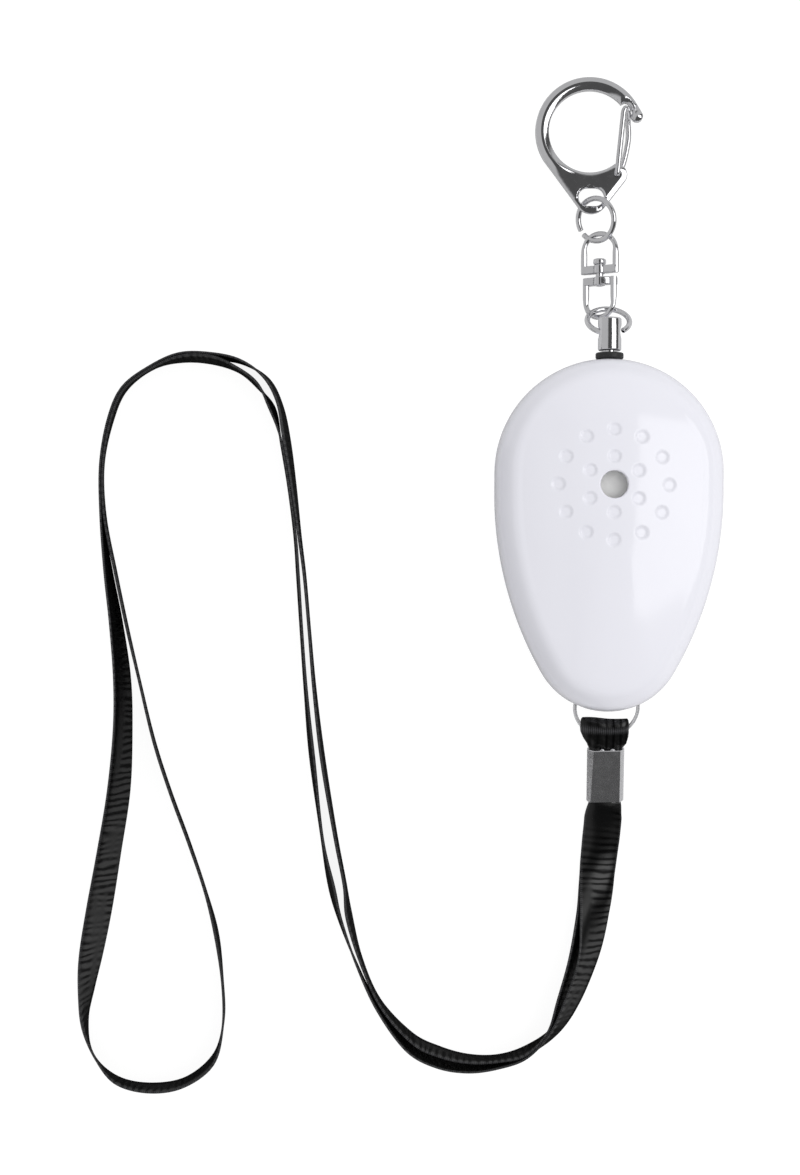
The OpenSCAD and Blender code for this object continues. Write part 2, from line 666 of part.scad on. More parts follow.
// Ribbon: the double run, out on the right hand and back on the left, with the wrist loop between
function flat(v) = v / norm(v);
function heading(l, i) = let (a = l[max(i - 1, 0)], b = l[min(i + 1, len(l) - 1)])
  flat([b[0] - a[0], b[1] - a[1]]);
function right_of(t) = [t[1], -t[0], 0];
function face_of(t, a) = [0, 0, cos(a)] - sin(a) * right_of(t);
function rest_z(a, off) = strap_w / 2 * abs(sin(a)) + (off + strap_t / 2) * abs(cos(a)) + floor_gap;
function run_mid(i, s) = let (r = run[i], n = face_of(heading(run, i), r[2]))
  [r[0], bail_at[1] + r[1], rest_z(r[2], r[3] / 2) + r[4]] + s * r[3] / 2 * n;
out_run = [for (i = [0 : len(run) - 1]) concat(run_mid(i, -1), [run[i][2]])];
back_run = [for (i = [len(run) - 1 : -1 : 0]) concat(run_mid(i, 1), [180 - run[i][2]])];
wrist = [for (p = loop) [p[0], bail_at[1] + p[1], rest_z(p[2], 0), p[2]]];
ribbon = concat(out_run, wrist, back_run);
split = len(out_run) + len(wrist);
function section(i) = let (p = ribbon[i], t = heading(ribbon, i), c = [p[0], p[1], p[2]],
  w = cos(p[3]) * right_of(t) + [0, 0, sin(p[3])], n = face_of(t, p[3]), a = strap_w / 2, b = strap_t / 2)
  [for (q = [[a, -b], [a, b], [a / 3, b], [-a / 3, b], [-a, b], [-a, -b], [-a / 3, -b], [a / 3, -b]])
    c + q[0] * w + q[1] * n];
module strap_long() color("black") skin([for (i = [0 : split]) turned(section(i))]);
module strap_short() color("black") skin([for (i = [split : len(ribbon) - 1]) turned(section(i))]);

front_shell();
back_shell();
shell_screws();
pin_grommet();
sounder_plate();
sounder_ceramic();
sounder_gasket();
sounder_clamp();
sounder_leads();
circuit_board();
coil_core();
coil_winding();
driver_chip();
transistor();
capacitor();
button_cells();
contact_plus();
contact_minus();
switch_block();
switch_leaf();
switch_fixed();
pull_pin();
pin_ring();
yoke_lower();
swivel_rivet();
yoke_upper();
clip_ring();
clip_hook();
clip_gate();
strap_bail();
strap_fold();
strap_crimp();
strap_long();
strap_short();
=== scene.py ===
import bpy
import bmesh
import json
import numpy as np
from math import sin, cos, atan2, sqrt, pi, radians
from mathutils import Vector, Matrix
from mathutils.geometry import delaunay_2d_cdt


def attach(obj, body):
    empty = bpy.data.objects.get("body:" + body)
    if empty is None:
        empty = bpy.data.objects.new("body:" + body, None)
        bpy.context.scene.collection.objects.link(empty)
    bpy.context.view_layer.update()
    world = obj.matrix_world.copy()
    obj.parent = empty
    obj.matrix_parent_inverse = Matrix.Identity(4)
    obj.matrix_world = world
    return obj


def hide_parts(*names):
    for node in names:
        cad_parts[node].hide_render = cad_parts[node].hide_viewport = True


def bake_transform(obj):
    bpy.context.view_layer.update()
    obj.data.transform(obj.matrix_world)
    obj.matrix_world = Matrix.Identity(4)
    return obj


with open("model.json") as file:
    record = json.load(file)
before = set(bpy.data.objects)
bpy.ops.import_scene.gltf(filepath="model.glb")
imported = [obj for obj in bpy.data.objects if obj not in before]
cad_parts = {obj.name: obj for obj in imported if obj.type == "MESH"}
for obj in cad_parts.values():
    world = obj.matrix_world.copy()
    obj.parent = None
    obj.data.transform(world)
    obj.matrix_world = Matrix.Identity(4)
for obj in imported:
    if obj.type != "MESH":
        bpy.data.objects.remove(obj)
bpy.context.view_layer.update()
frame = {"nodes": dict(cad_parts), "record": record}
mm = 0.001
moveBy = Matrix.Translation


def turnBy(degrees, axis):
    return Matrix.Rotation(radians(degrees), 4, axis)


def addObject(name, data):
    made = bpy.data.objects.new(name, data)
    bpy.context.scene.collection.objects.link(made)
    return made


# view from straight above, a little turned, with the photo's own field of view
cameraSetup = {"at": (-40.06, -19.72, 400), "turn": 0.5, "focal": 62.05, "longSide": 36, "nearest": 10}
cam = bpy.data.cameras.new("camera")
cam.sensor_width = cameraSetup["longSide"]
cam.lens = cameraSetup["focal"]
cam.clip_start = cameraSetup["nearest"] * mm
camObject = addObject("camera", cam)
camObject.location = Vector(cameraSetup["at"]) * mm
camObject.rotation_euler = (0, 0, radians(cameraSetup["turn"]))
bpy.context.scene.camera = camObject
bpy.context.scene.view_settings.view_transform = "Standard"
print("camera placed")


# mesh helpers, all in millimetres until addPiece scales them
def meshOf(name, points, faces):
    mesh = bpy.data.meshes.new(name)
    mesh.from_pydata([tuple(p) for p in points], [], faces)
    mesh.validate()
    work = bmesh.new()
    work.from_mesh(mesh)
    bmesh.ops.recalc_face_normals(work, faces=work.faces)
    work.to_mesh(mesh)
    work.free()
    return mesh


def loft(name, rings, joinEnds=False):
    rows, count = len(rings), len(rings[0])
    faces = []
    for j in range(rows if joinEnds else rows - 1):
        a, b = j * count, ((j + 1) % rows) * count
        for i in range(count):
            k = (i + 1) % count
            faces.append((a + i, a + k, b + k, b + i))
    if not joinEnds:
        faces.append(tuple(range(count - 1, -1, -1)))
        faces.append(tuple((rows - 1) * count + i for i in range(count)))
    return meshOf(name, [p for r in rings for p in r], faces)


def turns(count):
    return [2 * pi * k / count for k in range(count)]


def polar(r, degrees, at=(0, 0)):
    return at[0] + r * cos(radians(degrees)), at[1] + r * sin(radians(degrees))


def ringPath(r, around):
    return [np.array((r * cos(a), r * sin(a), 0)) for a in around]


def soften(t):
    return t * t * (3 - 2 * t)


def between(table, x):
    return float(np.interp(x, *zip(*table)))


def smoothPath(points, steps, closed=False):
    # Catmull-Rom through every point, any number of coordinates
    p = np.array(points, float)
    n = len(p)
    out = []
    for i in range(n if closed else n - 1):
        a, b, c, d = (p[(i + k) % n] if closed else p[min(max(i + k, 0), n - 1)] for k in (-1, 0, 1, 2))
        for s in range(steps):
            t = s / steps
            out.append(0.5 * (2 * b + (c - a) * t + (2 * a - 5 * b + 4 * c - d) * t * t
                              + (3 * b - a - 3 * c + d) * t ** 3))
    if not closed:
        out.append(p[-1])
    return np.array(out)


def carriedFrames(path, closed=False):
    # tangent and two side directions that turn as little as they can along the path
    n = len(path)
    tangents = []
    for i in range(n):
        a = path[(i - 1) % n] if closed else path[max(i - 1, 0)]
        b = path[(i + 1) % n] if closed else path[min(i + 1, n - 1)]
        tangents.append(Vector(b - a).normalized())
    side = Vector((0, 0, 1)) if abs(tangents[0].z) < 0.9 else Vector((1, 0, 0))
    frames = []
    for t in tangents:
        side = (side - t * side.dot(t)).normalized()
        frames.append((t, side, t.cross(side)))
    return frames


def wireMesh(name, path, radius, sides=20, closed=False, ease=0.25):
    def ring(p, axes, r):
        return [Vector(p) + r * (cos(a) * axes[1] + sin(a) * axes[2]) for a in turns(sides)]

    frames = carriedFrames(path, closed)
    rings = [ring(p, axes, radius) for p, axes in zip(path, frames)]
    if not closed:  # rounded-over ends
        for end, way in ((0, -1), (-1, 1)):
            extra = []
            for a in (35, 65, 85):
                q = Vector(path[end]) + way * frames[end][0] * ease * sin(radians(a))
                extra.append(ring(q, frames[end], radius - ease * (1 - cos(radians(a)))))
            rings = extra[::-1] + rings if way < 0 else rings + extra
    return loft(name, rings, joinEnds=closed)


def latheMesh(name, profile, sides=64, tube=False):
    # profile of (distance along Y, radius), turned about the Y axis; a tube's profile closes on itself
    rings = [[(r * cos(a), y, r * sin(a)) for a in turns(sides)] for y, r in profile]
    return loft(name, rings, joinEnds=tube)


def joinMeshes(name, parts):
    work = bmesh.new()
    for part in parts:
        work.from_mesh(part)
        bpy.data.meshes.remove(part)
    mesh = bpy.data.meshes.new(name)
    work.to_mesh(mesh)
    work.free()
    return mesh


def roundedBox(name, low, high, ease, steps=2):
    work = bmesh.new()
    bmesh.ops.create_cube(work, size=1)
    for v in work.verts:
        v.co = Vector([(a + b) / 2 + c * (b - a) for a, b, c in zip(low, high, v.co)])
    bmesh.ops.bevel(work, geom=work.edges[:], offset=ease, segments=steps, profile=0.5, affect="EDGES")
    mesh = bpy.data.meshes.new(name)
    work.to_mesh(mesh)
    work.free()
    return mesh


def carve(mesh, cutter):
    target, tool = addObject("carveTarget", mesh), addObject("carveTool", cutter)
    cut = target.modifiers.new("cut", "BOOLEAN")
    cut.object, cut.operation, cut.solver = tool, "DIFFERENCE", "EXACT"
    done = bpy.data.meshes.new_from_object(target.evaluated_get(bpy.context.evaluated_depsgraph_get()))
    done.name = mesh.name
    for o in (target, tool):
        bpy.data.objects.remove(o)
    bpy.data.meshes.remove(mesh)
    bpy.data.meshes.remove(cutter)
    return done


def addPiece(name, mesh, material, body, node, sharp=32, at=None, blend=None):
    if at is not None:
        mesh.transform(at)
    mesh.transform(Matrix.Scale(mm, 4))
    mesh.materials.clear()
    mesh.materials.append(material)
    mesh.shade_smooth()
    mesh.set_sharp_from_angle(angle=radians(sharp))
    piece = addObject(name, mesh)
    if blend:
        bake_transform(piece)
    else:
        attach(piece, body)
    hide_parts(node)
    return piece


# shader helpers
def feed(tree, node, ins):
    for key, value in ins.items():
        if isinstance(value, bpy.types.NodeSocket):
            tree.links.new(value, node.inputs[key])
        else:
            node.inputs[key].default_value = value


def put(tree, kind, ins=None, **settings):
    made = tree.nodes.new(kind)
    for key, value in settings.items():
        setattr(made, key, value)
    feed(tree, made, ins or {})
    return made


def maths(tree, how, *values):
    return put(tree, "ShaderNodeMath", dict(enumerate(values)), operation=how).outputs[0]


def remap(tree, value, low, high, toLow=0, toHigh=1, **settings):
    ins = {"Value": value, "From Min": low, "From Max": high, "To Min": toLow, "To Max": toHigh}
    return put(tree, "ShaderNodeMapRange", ins, **settings).outputs[0]


def noise(tree, place, scale, detail):
    return put(tree, "ShaderNodeTexNoise", {"Vector": place, "Scale": scale, "Detail": detail}).outputs[0]


def stretched(tree, place, by):
    return put(tree, "ShaderNodeVectorMath", {0: place, 1: by}, operation="MULTIPLY").outputs[0]


def blended(tree, factor, a, b, **settings):
    return put(tree, "ShaderNodeMix", {0: factor, 6: a, 7: b}, data_type="RGBA", **settings).outputs[2]


def ramp(tree, factor, low, high):
    made = put(tree, "ShaderNodeValToRGB", {0: factor})
    for stop, shade in zip(made.color_ramp.elements, (low, high)):
        stop.color = (shade, shade, shade, 1)
    return made.outputs[0]


def newGroup(name, inputs, outputs):
    group = bpy.data.node_groups.new(name, "ShaderNodeTree")
    for label, value in inputs.items():
        socket = group.interface.new_socket(name=label, in_out="INPUT", socket_type="NodeSocketFloat")
        socket.default_value = value
    for label in outputs:
        group.interface.new_socket(name=label, in_out="OUTPUT", socket_type="NodeSocketFloat")
    return group, group.nodes.new("NodeGroupInput").outputs, group.nodes.new("NodeGroupOutput")


def surfaceGrainGroup():
    # fine tool marks and cloudy polish: a roughness and a height that drift over the surface
    group, given, out = newGroup("surfaceGrain", {"Grain per mm": 4.0, "Cloud per mm": 0.2, "Roughness low": 0.2,
                                                  "Roughness high": 0.3}, ("Roughness", "Height", "Cloud"))
    place = put(group, "ShaderNodeTexCoord").outputs["Object"]
    inMm = put(group, "ShaderNodeVectorMath", {0: place, "Scale": 1000}, operation="SCALE").outputs[0]
    fine, cloud = noise(group, inMm, given[0], 4), noise(group, inMm, given[1], 3)
    rough = remap(group, maths(group, "MULTIPLY", fine, cloud), 0.12, 0.42, given[2], given[3])
    feed(group, out, {0: rough, 1: fine, 2: cloud})
    return group


# weave in millimetres: how far the crinkles sway, the plain selvedge, and the heights of ribs and crinkles
cloth = {"ribs": 2.6, "crinkles": 0.75, "width": 10.0, "sway": 2.4, "selvedge": 0.7, "ribHigh": 0.3, "crinkleHigh": 1.4}


def ribbonWeaveGroup():
    # ribs across a ribbon: fine weft cords, slow irregular crinkles and a plain selvedge,
    # from the ribbon's own length and width
    group, given, out = newGroup("ribbonWeave", {"Ribs per mm": cloth["ribs"], "Crinkles per mm": cloth["crinkles"],
                                                 "Width mm": cloth["width"]}, ("Height", "Crinkle", "ThreadAndSheen"))
    along = put(group, "ShaderNodeSeparateXYZ", {0: put(group, "ShaderNodeUVMap", uv_map="weave").outputs[0]})
    u, v = along.outputs[0], along.outputs[1]

    def sine(value, perMm):
        turn = maths(group, "MULTIPLY", value, perMm)
        return maths(group, "SINE", maths(group, "MULTIPLY", turn, 2 * pi))

    ribs = sine(u, given[0])
    spot = put(group, "ShaderNodeCombineXYZ", {0: u, 1: v}).outputs[0]
    drift = noise(group, stretched(group, spot, (1, 0.25, 0)), 0.3, 2)
    waves = sine(maths(group, "MULTIPLY_ADD", drift, cloth["sway"], u), given[1])
    patch = remap(group, noise(group, stretched(group, spot, (1, 2.5, 0)), 0.07, 1), 0.36, 0.58)
    crinkle = maths(group, "MULTIPLY", waves, patch)
    half = maths(group, "MULTIPLY", given[2], 0.5)
    edge = remap(group, maths(group, "ABSOLUTE", v), maths(group, "SUBTRACT", half, cloth["selvedge"]), half)
    low = maths(group, "MULTIPLY", ribs, cloth["ribHigh"])
    both = maths(group, "MULTIPLY_ADD", crinkle, cloth["crinkleHigh"], low)
    height = maths(group, "MULTIPLY", both, maths(group, "SUBTRACT", 1, edge))
    # lighter threads along the selvedge; on the fold this edge mask lays a painted sheen band
    threadAndSheen = maths(group, "MULTIPLY", maths(group, "MULTIPLY_ADD", ribs, 0.4, 0.6), edge)
    feed(group, out, {0: height, 1: crinkle, 2: threadAndSheen})
    return group


grain = surfaceGrainGroup()
weave = ribbonWeaveGroup()


def newMaterial(name):
    material = bpy.data.materials.new(name)
    material.use_nodes = True
    tree = material.node_tree
    return material, tree, tree.nodes["Principled BSDF"]


def tinted(tree, factor, dark, light):
    return blended(tree, factor, (*dark, 1), (*light, 1))


def finish(name, dark, light, rough, metal=0.0, bump=0.02, grainPerMm=4.0, cloudPerMm=0.2):
    # a solid finish: cloudy colour between two shades, drifting roughness and a fine grain
    material, tree, shader = newMaterial(name)
    marks = put(tree, "ShaderNodeGroup", {"Grain per mm": grainPerMm, "Cloud per mm": cloudPerMm,
                "Roughness low": rough[0], "Roughness high": rough[1]}, node_tree=grain).outputs
    raised = put(tree, "ShaderNodeBump", {"Height": marks["Height"], "Strength": bump, "Distance": 0.2 * mm})
    feed(tree, shader, {"Base Color": tinted(tree, marks["Cloud"], dark, light), "Roughness": marks["Roughness"],
                        "Normal": raised.outputs[0], "Metallic": metal})
    return material


def ribbonFinish(name, dark, light):
    # black satin: a soft gloss where it faces the eye, broken by the crinkles, and hardly any at its edge
    material, tree, shader = newMaterial(name)
    woven = put(tree, "ShaderNodeGroup", {"Width mm": cloth["width"]}, node_tree=weave).outputs
    raised = put(tree, "ShaderNodeBump", {"Height": woven["Height"], "Strength": 0.8, "Distance": 0.22 * mm})
    turned = put(tree, "ShaderNodeLayerWeight", {"Blend": 0.5}).outputs["Facing"]
    front = remap(tree, turned, 0.5, 0.86, 1, 0.03)
    bands = remap(tree, woven["Crinkle"], -0.8, 0.4, 0.15, 1)
    # base colour: light shade on the selvedge threads, and on the fold a painted sheen
    feed(tree, shader, {"Base Color": tinted(tree, woven["ThreadAndSheen"], dark, light), "Normal": raised.outputs[0],
                        "Roughness": remap(tree, woven["Crinkle"], -1, 1, 0.4, 0.52),
                        "Coat Weight": maths(tree, "MULTIPLY", front, bands), "Coat Roughness": 0.3, "Coat IOR": 1.58,
                        "Specular IOR Level": 0, "Sheen Weight": 0.02, "Sheen Roughness": 0.45})
    return material


shellWhite = finish("shellWhite", (0.78, 0.78, 0.84), (0.82, 0.82, 0.88), (0.08, 0.13), bump=0.001, grainPerMm=2.5,
                    cloudPerMm=0.05)
brightPlate = finish("brightPlate", (0.76, 0.76, 0.78), (0.84, 0.84, 0.86), (0.06, 0.16), metal=1, bump=0.04,
                     grainPerMm=1.6, cloudPerMm=0.5)
crimpSteel = finish("crimpSteel", (0.8, 0.8, 0.82), (0.92, 0.92, 0.94), (0.22, 0.34), metal=1, bump=0.025,
                    grainPerMm=3, cloudPerMm=0.6)
bailSteel = finish("bailSteel", (0.8, 0.8, 0.82), (0.88, 0.88, 0.9), (0.24, 0.34), metal=0.62, bump=0.03, grainPerMm=2)
blackRubber = finish("blackRubber", (0.012, 0.012, 0.013), (0.022, 0.022, 0.024), (0.45, 0.6), bump=0.05)
ribbonBlack = ribbonFinish("ribbonBlack", (0.0008, 0.0008, 0.001), (0.045, 0.045, 0.048))
# the fold's light shade is painted sheen, laid as a band across the roll
foldBlack = ribbonFinish("foldBlack", (0.0008, 0.0008, 0.001), (0.06, 0.06, 0.065))
slotFinish = {
    "screw_steel": finish("screwSteel", (0.5, 0.5, 0.52), (0.62, 0.62, 0.64), (0.2, 0.36), metal=1, bump=0.05),
    "spring_brass": finish("springBrass", (0.8, 0.8, 0.79), (0.95, 0.95, 0.93), (0.4, 0.55), bump=0.08, cloudPerMm=0.9),
    "cell_steel": finish("cellSteel", (0.55, 0.55, 0.56), (0.66, 0.66, 0.67), (0.2, 0.32), metal=1, bump=0.03),
    "piezo": finish("piezoCeramic", (0.7, 0.68, 0.62), (0.8, 0.78, 0.72), (0.5, 0.65), bump=0.04),
    "foam": finish("foamGasket", (0.05, 0.05, 0.05), (0.08, 0.08, 0.08), (0.8, 0.95), bump=0.3, grainPerMm=5),
    "clamp": finish("clampResin", (0.03, 0.03, 0.03), (0.05, 0.05, 0.05), (0.4, 0.55), bump=0.05),
    "lead_sleeve": finish("leadSleeve", (0.4, 0.02, 0.02), (0.5, 0.04, 0.03), (0.35, 0.5), bump=0.02),
    "board": finish("boardLacquer", (0.02, 0.12, 0.05), (0.03, 0.17, 0.07), (0.25, 0.4), bump=0.06),
    "ferrite": finish("coilFerrite", (0.03, 0.03, 0.035), (0.06, 0.06, 0.06), (0.5, 0.7), bump=0.15),
    "copper_wire": finish("copperWinding", (0.5, 0.2, 0.08), (0.62, 0.28, 0.12), (0.2, 0.35), metal=1, bump=0.2),
    "black_resin": finish("blackResin", (0.012, 0.012, 0.012), (0.022, 0.022, 0.022), (0.5, 0.65), bump=0.08),
    "can_sleeve": finish("canSleeve", (0.01, 0.015, 0.06), (0.015, 0.02, 0.09), (0.2, 0.3), bump=0.02),
}
print("finishes made")

# the ribbon: x, y, roll from flat, gap between the two ribbons' middles, lift, how far the two lean apart;
# then the wrist loop
strap = {"width": 10, "thick": 0.45, "finer": 8, "floorGap": 0.05,
         "gather": ((0, 0.57), (2, 0.65), (4.5, 0.73), (9, 0.73), (16, 0.69), (24, 0.75), (33, 0.9), (44, 1)),
         "arch": ((0, 0.1), (3, 0.4), (8, 0.6), (20, 0.35), (40, 0)), "pleat": 0.2}
strapRun = [
    (0.5, -60.2, 0, 0.7, 1.3, 0), (0.5, -61.9, 0, 0.8, 1.85, 0), (0.3, -64, 0, 0.8, 1.3, 0),
    (0.1, -67, -2, 0.8, 0.6, 0), (-0.5, -73, 1, 0.8, 0.5, 0), (-1.5, -82, 33, 1, 0.1, 0), (-3.4, -91, 58, 2, 0, 0),
    (-6.6, -99.9, 67, 1.7, 0, 2), (-9.6, -106, 75, 0.92, 0, 2.7), (-14.6, -110.35, 83.5, 1, 0, 3),
    (-20.1, -112, 84.5, 1.2, 0, 0), (-26, -112.4, 86.5, 1.8, 0, 0), (-31.9, -111.2, 89, 2.1, 0, 0),
    (-37.5, -108.3, 89.5, 1.8, 0, 0), (-43.5, -101.2, 87.5, 0.9, 0, 0), (-47.5, -92.8, 87.2, 1.1, 0, 1.6),
    (-50.4, -84, 88, 1.9, 0, 5.2), (-51.7, -77.5, 85.2, 2.6, 0, 4.5), (-53.6, -68, 87.7, 2.6, 0, 2.2),
    (-55.9, -53, 86.8, 2, 0, 4.4), (-57.4, -40, 87.3, 1.7, 0, 2.6), (-58.4, -28.7, 87.2, 1.55, 0, 1.8),
    (-59.3, -18, 87.2, 1.3, 0, 2), (-60.2, -9.6, 87.8, 0.85, 0, 2.2), (-61.5, 0, 89.4, 0.95, 0, 3),
    (-63, 8.9, 90.8, 1.15, 0, 4), (-64.6, 15.5, 93.8, 1.7, 0, -0.8), (-67.3, 20.1, 90.8, 2.2, 0, 3.2),
    (-71.6, 23.2, 90.3, 1.7, 0, 0.9), (-77, 24.72, 88, 0.75, 0, 1.5), (-83, 24.88, 91, 0.75, 0, 1.5),
    (-88.7, 22.9, 97, 0.54, 0, 0.5), (-94.1, 18.8, 97, 0.62, 0, 1), (-96.8, 12.85, 96.7, 0.62, 0, 1),
    (-98.4, 4, 97.6, 0.52, 0, 0.2), (-98.1, -6, 96, 0.6, 0, 0)]
strapLoop = [
    (-97, -17, 89.5), (-95.4, -27, 84), (-94.1, -38, 79), (-93.9, -48, 76.5), (-94.6, -60, 71.5), (-96.4, -72, 70),
    (-98.2, -83, 68), (-99.7, -92, 71), (-100.5, -99, 81), (-100.7, -105.4, 93), (-98.9, -111.7, 103.5),
    (-94.6, -116.2, 98), (-88.2, -117.72, 94), (-81.3, -116.6, 91.5), (-75.6, -112, 87), (-73.8, -105, 86.5),
    (-74, -97, 85), (-75.2, -88, 87), (-77.6, -79, 84), (-80.9, -69.5, 84), (-84.5, -60, 84), (-87.8, -50, 84),
    (-90.8, -38, 83.5), (-93.2, -28, 84), (-95.6, -17, 84)]


def heading(path, i):
    a, b = path[max(i - 1, 0)], path[min(i + 1, len(path) - 1)]
    return Vector((b[0] - a[0], b[1] - a[1], 0)).normalized()


def ribbonAxes(t, roll):
    right = Vector((t.y, -t.x, 0))
    across = cos(radians(roll)) * right + Vector((0, 0, sin(radians(roll))))
    face = Vector((0, 0, cos(radians(roll)))) - sin(radians(roll)) * right
    return across, face


def restHeight(roll, off):
    a = radians(roll)
    return strap["width"] / 2 * abs(sin(a)) + (off + strap["thick"] / 2) * abs(cos(a)) + strap["floorGap"]


def runMiddle(i, side):
    x, y, roll, gap, lift, lean = strapRun[i]
    face = ribbonAxes(heading(strapRun, i), roll)[1]
    return Vector((x, y, restHeight(roll, gap / 2) + lift)) + side * gap / 2 * face


outward = [(*runMiddle(i, -1), strapRun[i][2] + strapRun[i][5]) for i in range(len(strapRun))]
backward = [(*runMiddle(i, 1), 180 - strapRun[i][2] + strapRun[i][5]) for i in range(len(strapRun) - 1, -1, -1)]
wrist = [(x, y, restHeight(roll, 0), roll) for x, y, roll in strapLoop]
splitAt = (len(outward) + len(wrist)) * strap["finer"]
ribbonPath = smoothPath(outward + wrist + backward, strap["finer"])


def ribbonSection():
    a, b = strap["width"] / 2, strap["thick"] / 2
    edge = [(a, 0), (a - 0.08, 0.7 * b), (a - 0.25, b), (a * 0.5, 0.9 * b)]
    half = edge + [(0, 0.9 * b)] + [(-p, q) for p, q in edge[:0:-1]]
    return half + [(-p, -q) for p, q in half]


def stepLengths(path):
    return np.linalg.norm(np.diff(path[:, :3], axis=0), axis=1)


def weaveMap(mesh, count, spotOf):
    # length and width on the ribbon, from a point's ring and its place in that ring
    layer = mesh.uv_layers.new(name="weave")
    for loop in mesh.loops:
        layer.data[loop.index].uv = spotOf(*divmod(loop.vertex_index, count))
    return mesh


def ribbonMesh(name, path, start, total):
    # drawn in and arched over where it comes out of the crimp at either end
    section = ribbonSection()
    lengths = start + np.r_[0, np.cumsum(stepLengths(path))]
    rings = []
    for i, (x, y, z, roll) in enumerate(path):
        across, face = ribbonAxes(heading(path, i), roll)
        up = 1 if lengths[i] < total / 2 else -1
        fromEnd = min(lengths[i], total - lengths[i])
        share, arch = between(strap["gather"], fromEnd), between(strap["arch"], fromEnd)
        ring = []
        for p, q in section:
            k = 2 * p / strap["width"]
            bow = arch * (0.5 - k * k) + strap["pleat"] * arch * cos(9 * k + 0.6)
            ring.append(Vector((x, y, z)) + p * share * across + (q + up * bow) * face)
        rings.append(ring)
    return weaveMap(loft(name, rings), len(section), lambda ring, spot: (lengths[ring], section[spot][0]))


strapBend = ((-1 * mm, -75 * mm, 0.005), (-24 * mm, -80 * mm, 0.005))  # points by the bail and, past it, by the housing
longPath, shortPath = ribbonPath[:splitAt + 1], ribbonPath[splitAt:]
longEnd = float(stepLengths(longPath).sum())
shortEnd = longEnd + float(stepLengths(shortPath).sum())
for name, path, start, size, node in (("strapLong", longPath, 0, longEnd, "strap_long"),
                                      ("strapShort", shortPath, longEnd, shortEnd - longEnd, "strap_short")):
    mesh = ribbonMesh(name, path, start, shortEnd)
    piece = addPiece(name, mesh, ribbonBlack, None, node, 50, blend=("bail", "housing", *strapBend))
print("strap laid", round(longEnd), "mm and", round(shortEnd - longEnd), "mm")

# egg body, both halves from one outline
body = {"halfWidth": 22, "tail": 43.3, "crownY": 2.7, "sideY": -1, "sideRadius": 70, "parting": 9, "height": 20.85,
        "domeY": -2, "edgeIn": 5, "edgeHigh": 8.5, "wall": 1.8, "roof": 1.9, "around": 360, "seam": 0.16,
        "seamDeep": 0.22, "hair": 0.01}
frontEdge = [(0, 0), (0.1, 2), (0.4, 3.9), (0.95, 5.25), (1.9, 6.45), (2.9, 7.5), (3.9, 8.12), (5, 8.5)]
backEdge = [(0, 0), (0.1, -2.5), (0.5, -4.8), (1.4, -7), (2.8, -8.4), (4.6, -9)]
frontInside = ((0, 0), (0.1, 2), (0.5, 3.8), (1.2, 5), (2.1, 5.8))
backInside = ((0, 0), (0.2, -4), (1.2, -6.4), (3, -7.4))
sound = {"hole": 5.2, "dot": 2.6, "deep": 0.42, "dishTo": 1.12, "dishSlope": 0.52, "inner": 5.25, "outer": 10.4,
         "fineTo": 12.4, "fineStep": 0.16, "lip": 0.3}
screws = {"at": ((16, 8.5), (-16, 8.5), (0, -32)), "hole": 1.2, "seat": 2.3, "deep": 4, "boss": 2.8, "foot": 0.25,
          "short": 0.02}
bailSlot = {"at": 6.1, "y": (-44, -39), "half": 1.7, "inner": 1.9, "outer": 0.7, "ease": 0.3}


def eggOutline(inset):
    w, sr, sy = body["halfWidth"], body["sideRadius"], body["sideY"]
    off = sr - w
    tailLong = body["tail"] + sy
    tailR = (sr * sr - off * off - tailLong * tailLong) / (2 * (sr - tailLong))
    tailY = tailR - body["tail"]
    lean = atan2(sy - tailY, off)

    def arc(cx, cy, r, a, b, n):
        t = np.linspace(a, b, n, endpoint=False)
        return np.c_[cx + r * np.cos(t), cy + r * np.sin(t)]

    flat = np.linspace(0, 1, 12, endpoint=False)[:, None]
    leftTop, leftLow = np.array([-w + inset, body["crownY"]]), np.array([-w + inset, sy])
    rightLow, rightTop = leftLow * [-1, 1], leftTop * [-1, 1]
    return np.concatenate([
        arc(0, body["crownY"], w - inset, 0, pi, 360), leftTop + flat * (leftLow - leftTop),
        arc(off, sy, sr - inset, pi, pi + lean, 200), arc(0, tailY, tailR - inset, pi + lean, 2 * pi - lean, 300),
        arc(-off, sy, sr - inset, -lean, 0, 200), rightLow + flat * (rightTop - rightLow)])


def reachOf(points, centre, angles):
    p = points - centre
    turn = np.arctan2(p[:, 1], p[:, 0])
    order = np.argsort(turn)
    return np.interp(angles, turn[order], np.hypot(*p.T)[order], period=2 * pi)


angles = np.linspace(0, 2 * pi, body["around"], endpoint=False)
rays = np.c_[np.cos(angles), np.sin(angles)]


def rimRing(inset, z):
    r = reachOf(eggOutline(inset), np.zeros(2), angles)
    return np.c_[rays * r[:, None], np.full(len(r), z)]


def domeHeight(xy, inset, base, rise):
    c = np.array([0, body["domeY"]])
    d = xy - c
    edge = reachOf(eggOutline(inset), c, np.arctan2(d[:, 1], d[:, 0]))
    return base + rise * (1 - (np.hypot(*d.T) / edge) ** 2)


def dotDepth(xy):
    # round shallow dishes, one ring of six and one of twelve
    depth = np.zeros(len(xy))
    spots = [(sound["inner"], 30 + 60 * i) for i in range(6)] + [(sound["outer"], 30 * i) for i in range(12)]
    for spot in spots:
        q = np.hypot(*(xy - polar(*spot)).T) / (sound["dot"] / 2)
        depth += sound["deep"] * soften(np.clip((sound["dishTo"] - q) / sound["dishSlope"], 0, 1))
    return depth


def insideRings(side, inside):
    # the groove along the joint line, then the inner face of the wall
    groove, joint = body["parting"] + side * body["seam"] * 0.6, body["parting"] + side * body["hair"]
    rings = [rimRing(body["seamDeep"], z) for z in (groove, joint)]
    return rings + [rimRing(body["wall"] + inset, joint + up) for inset, up in inside]


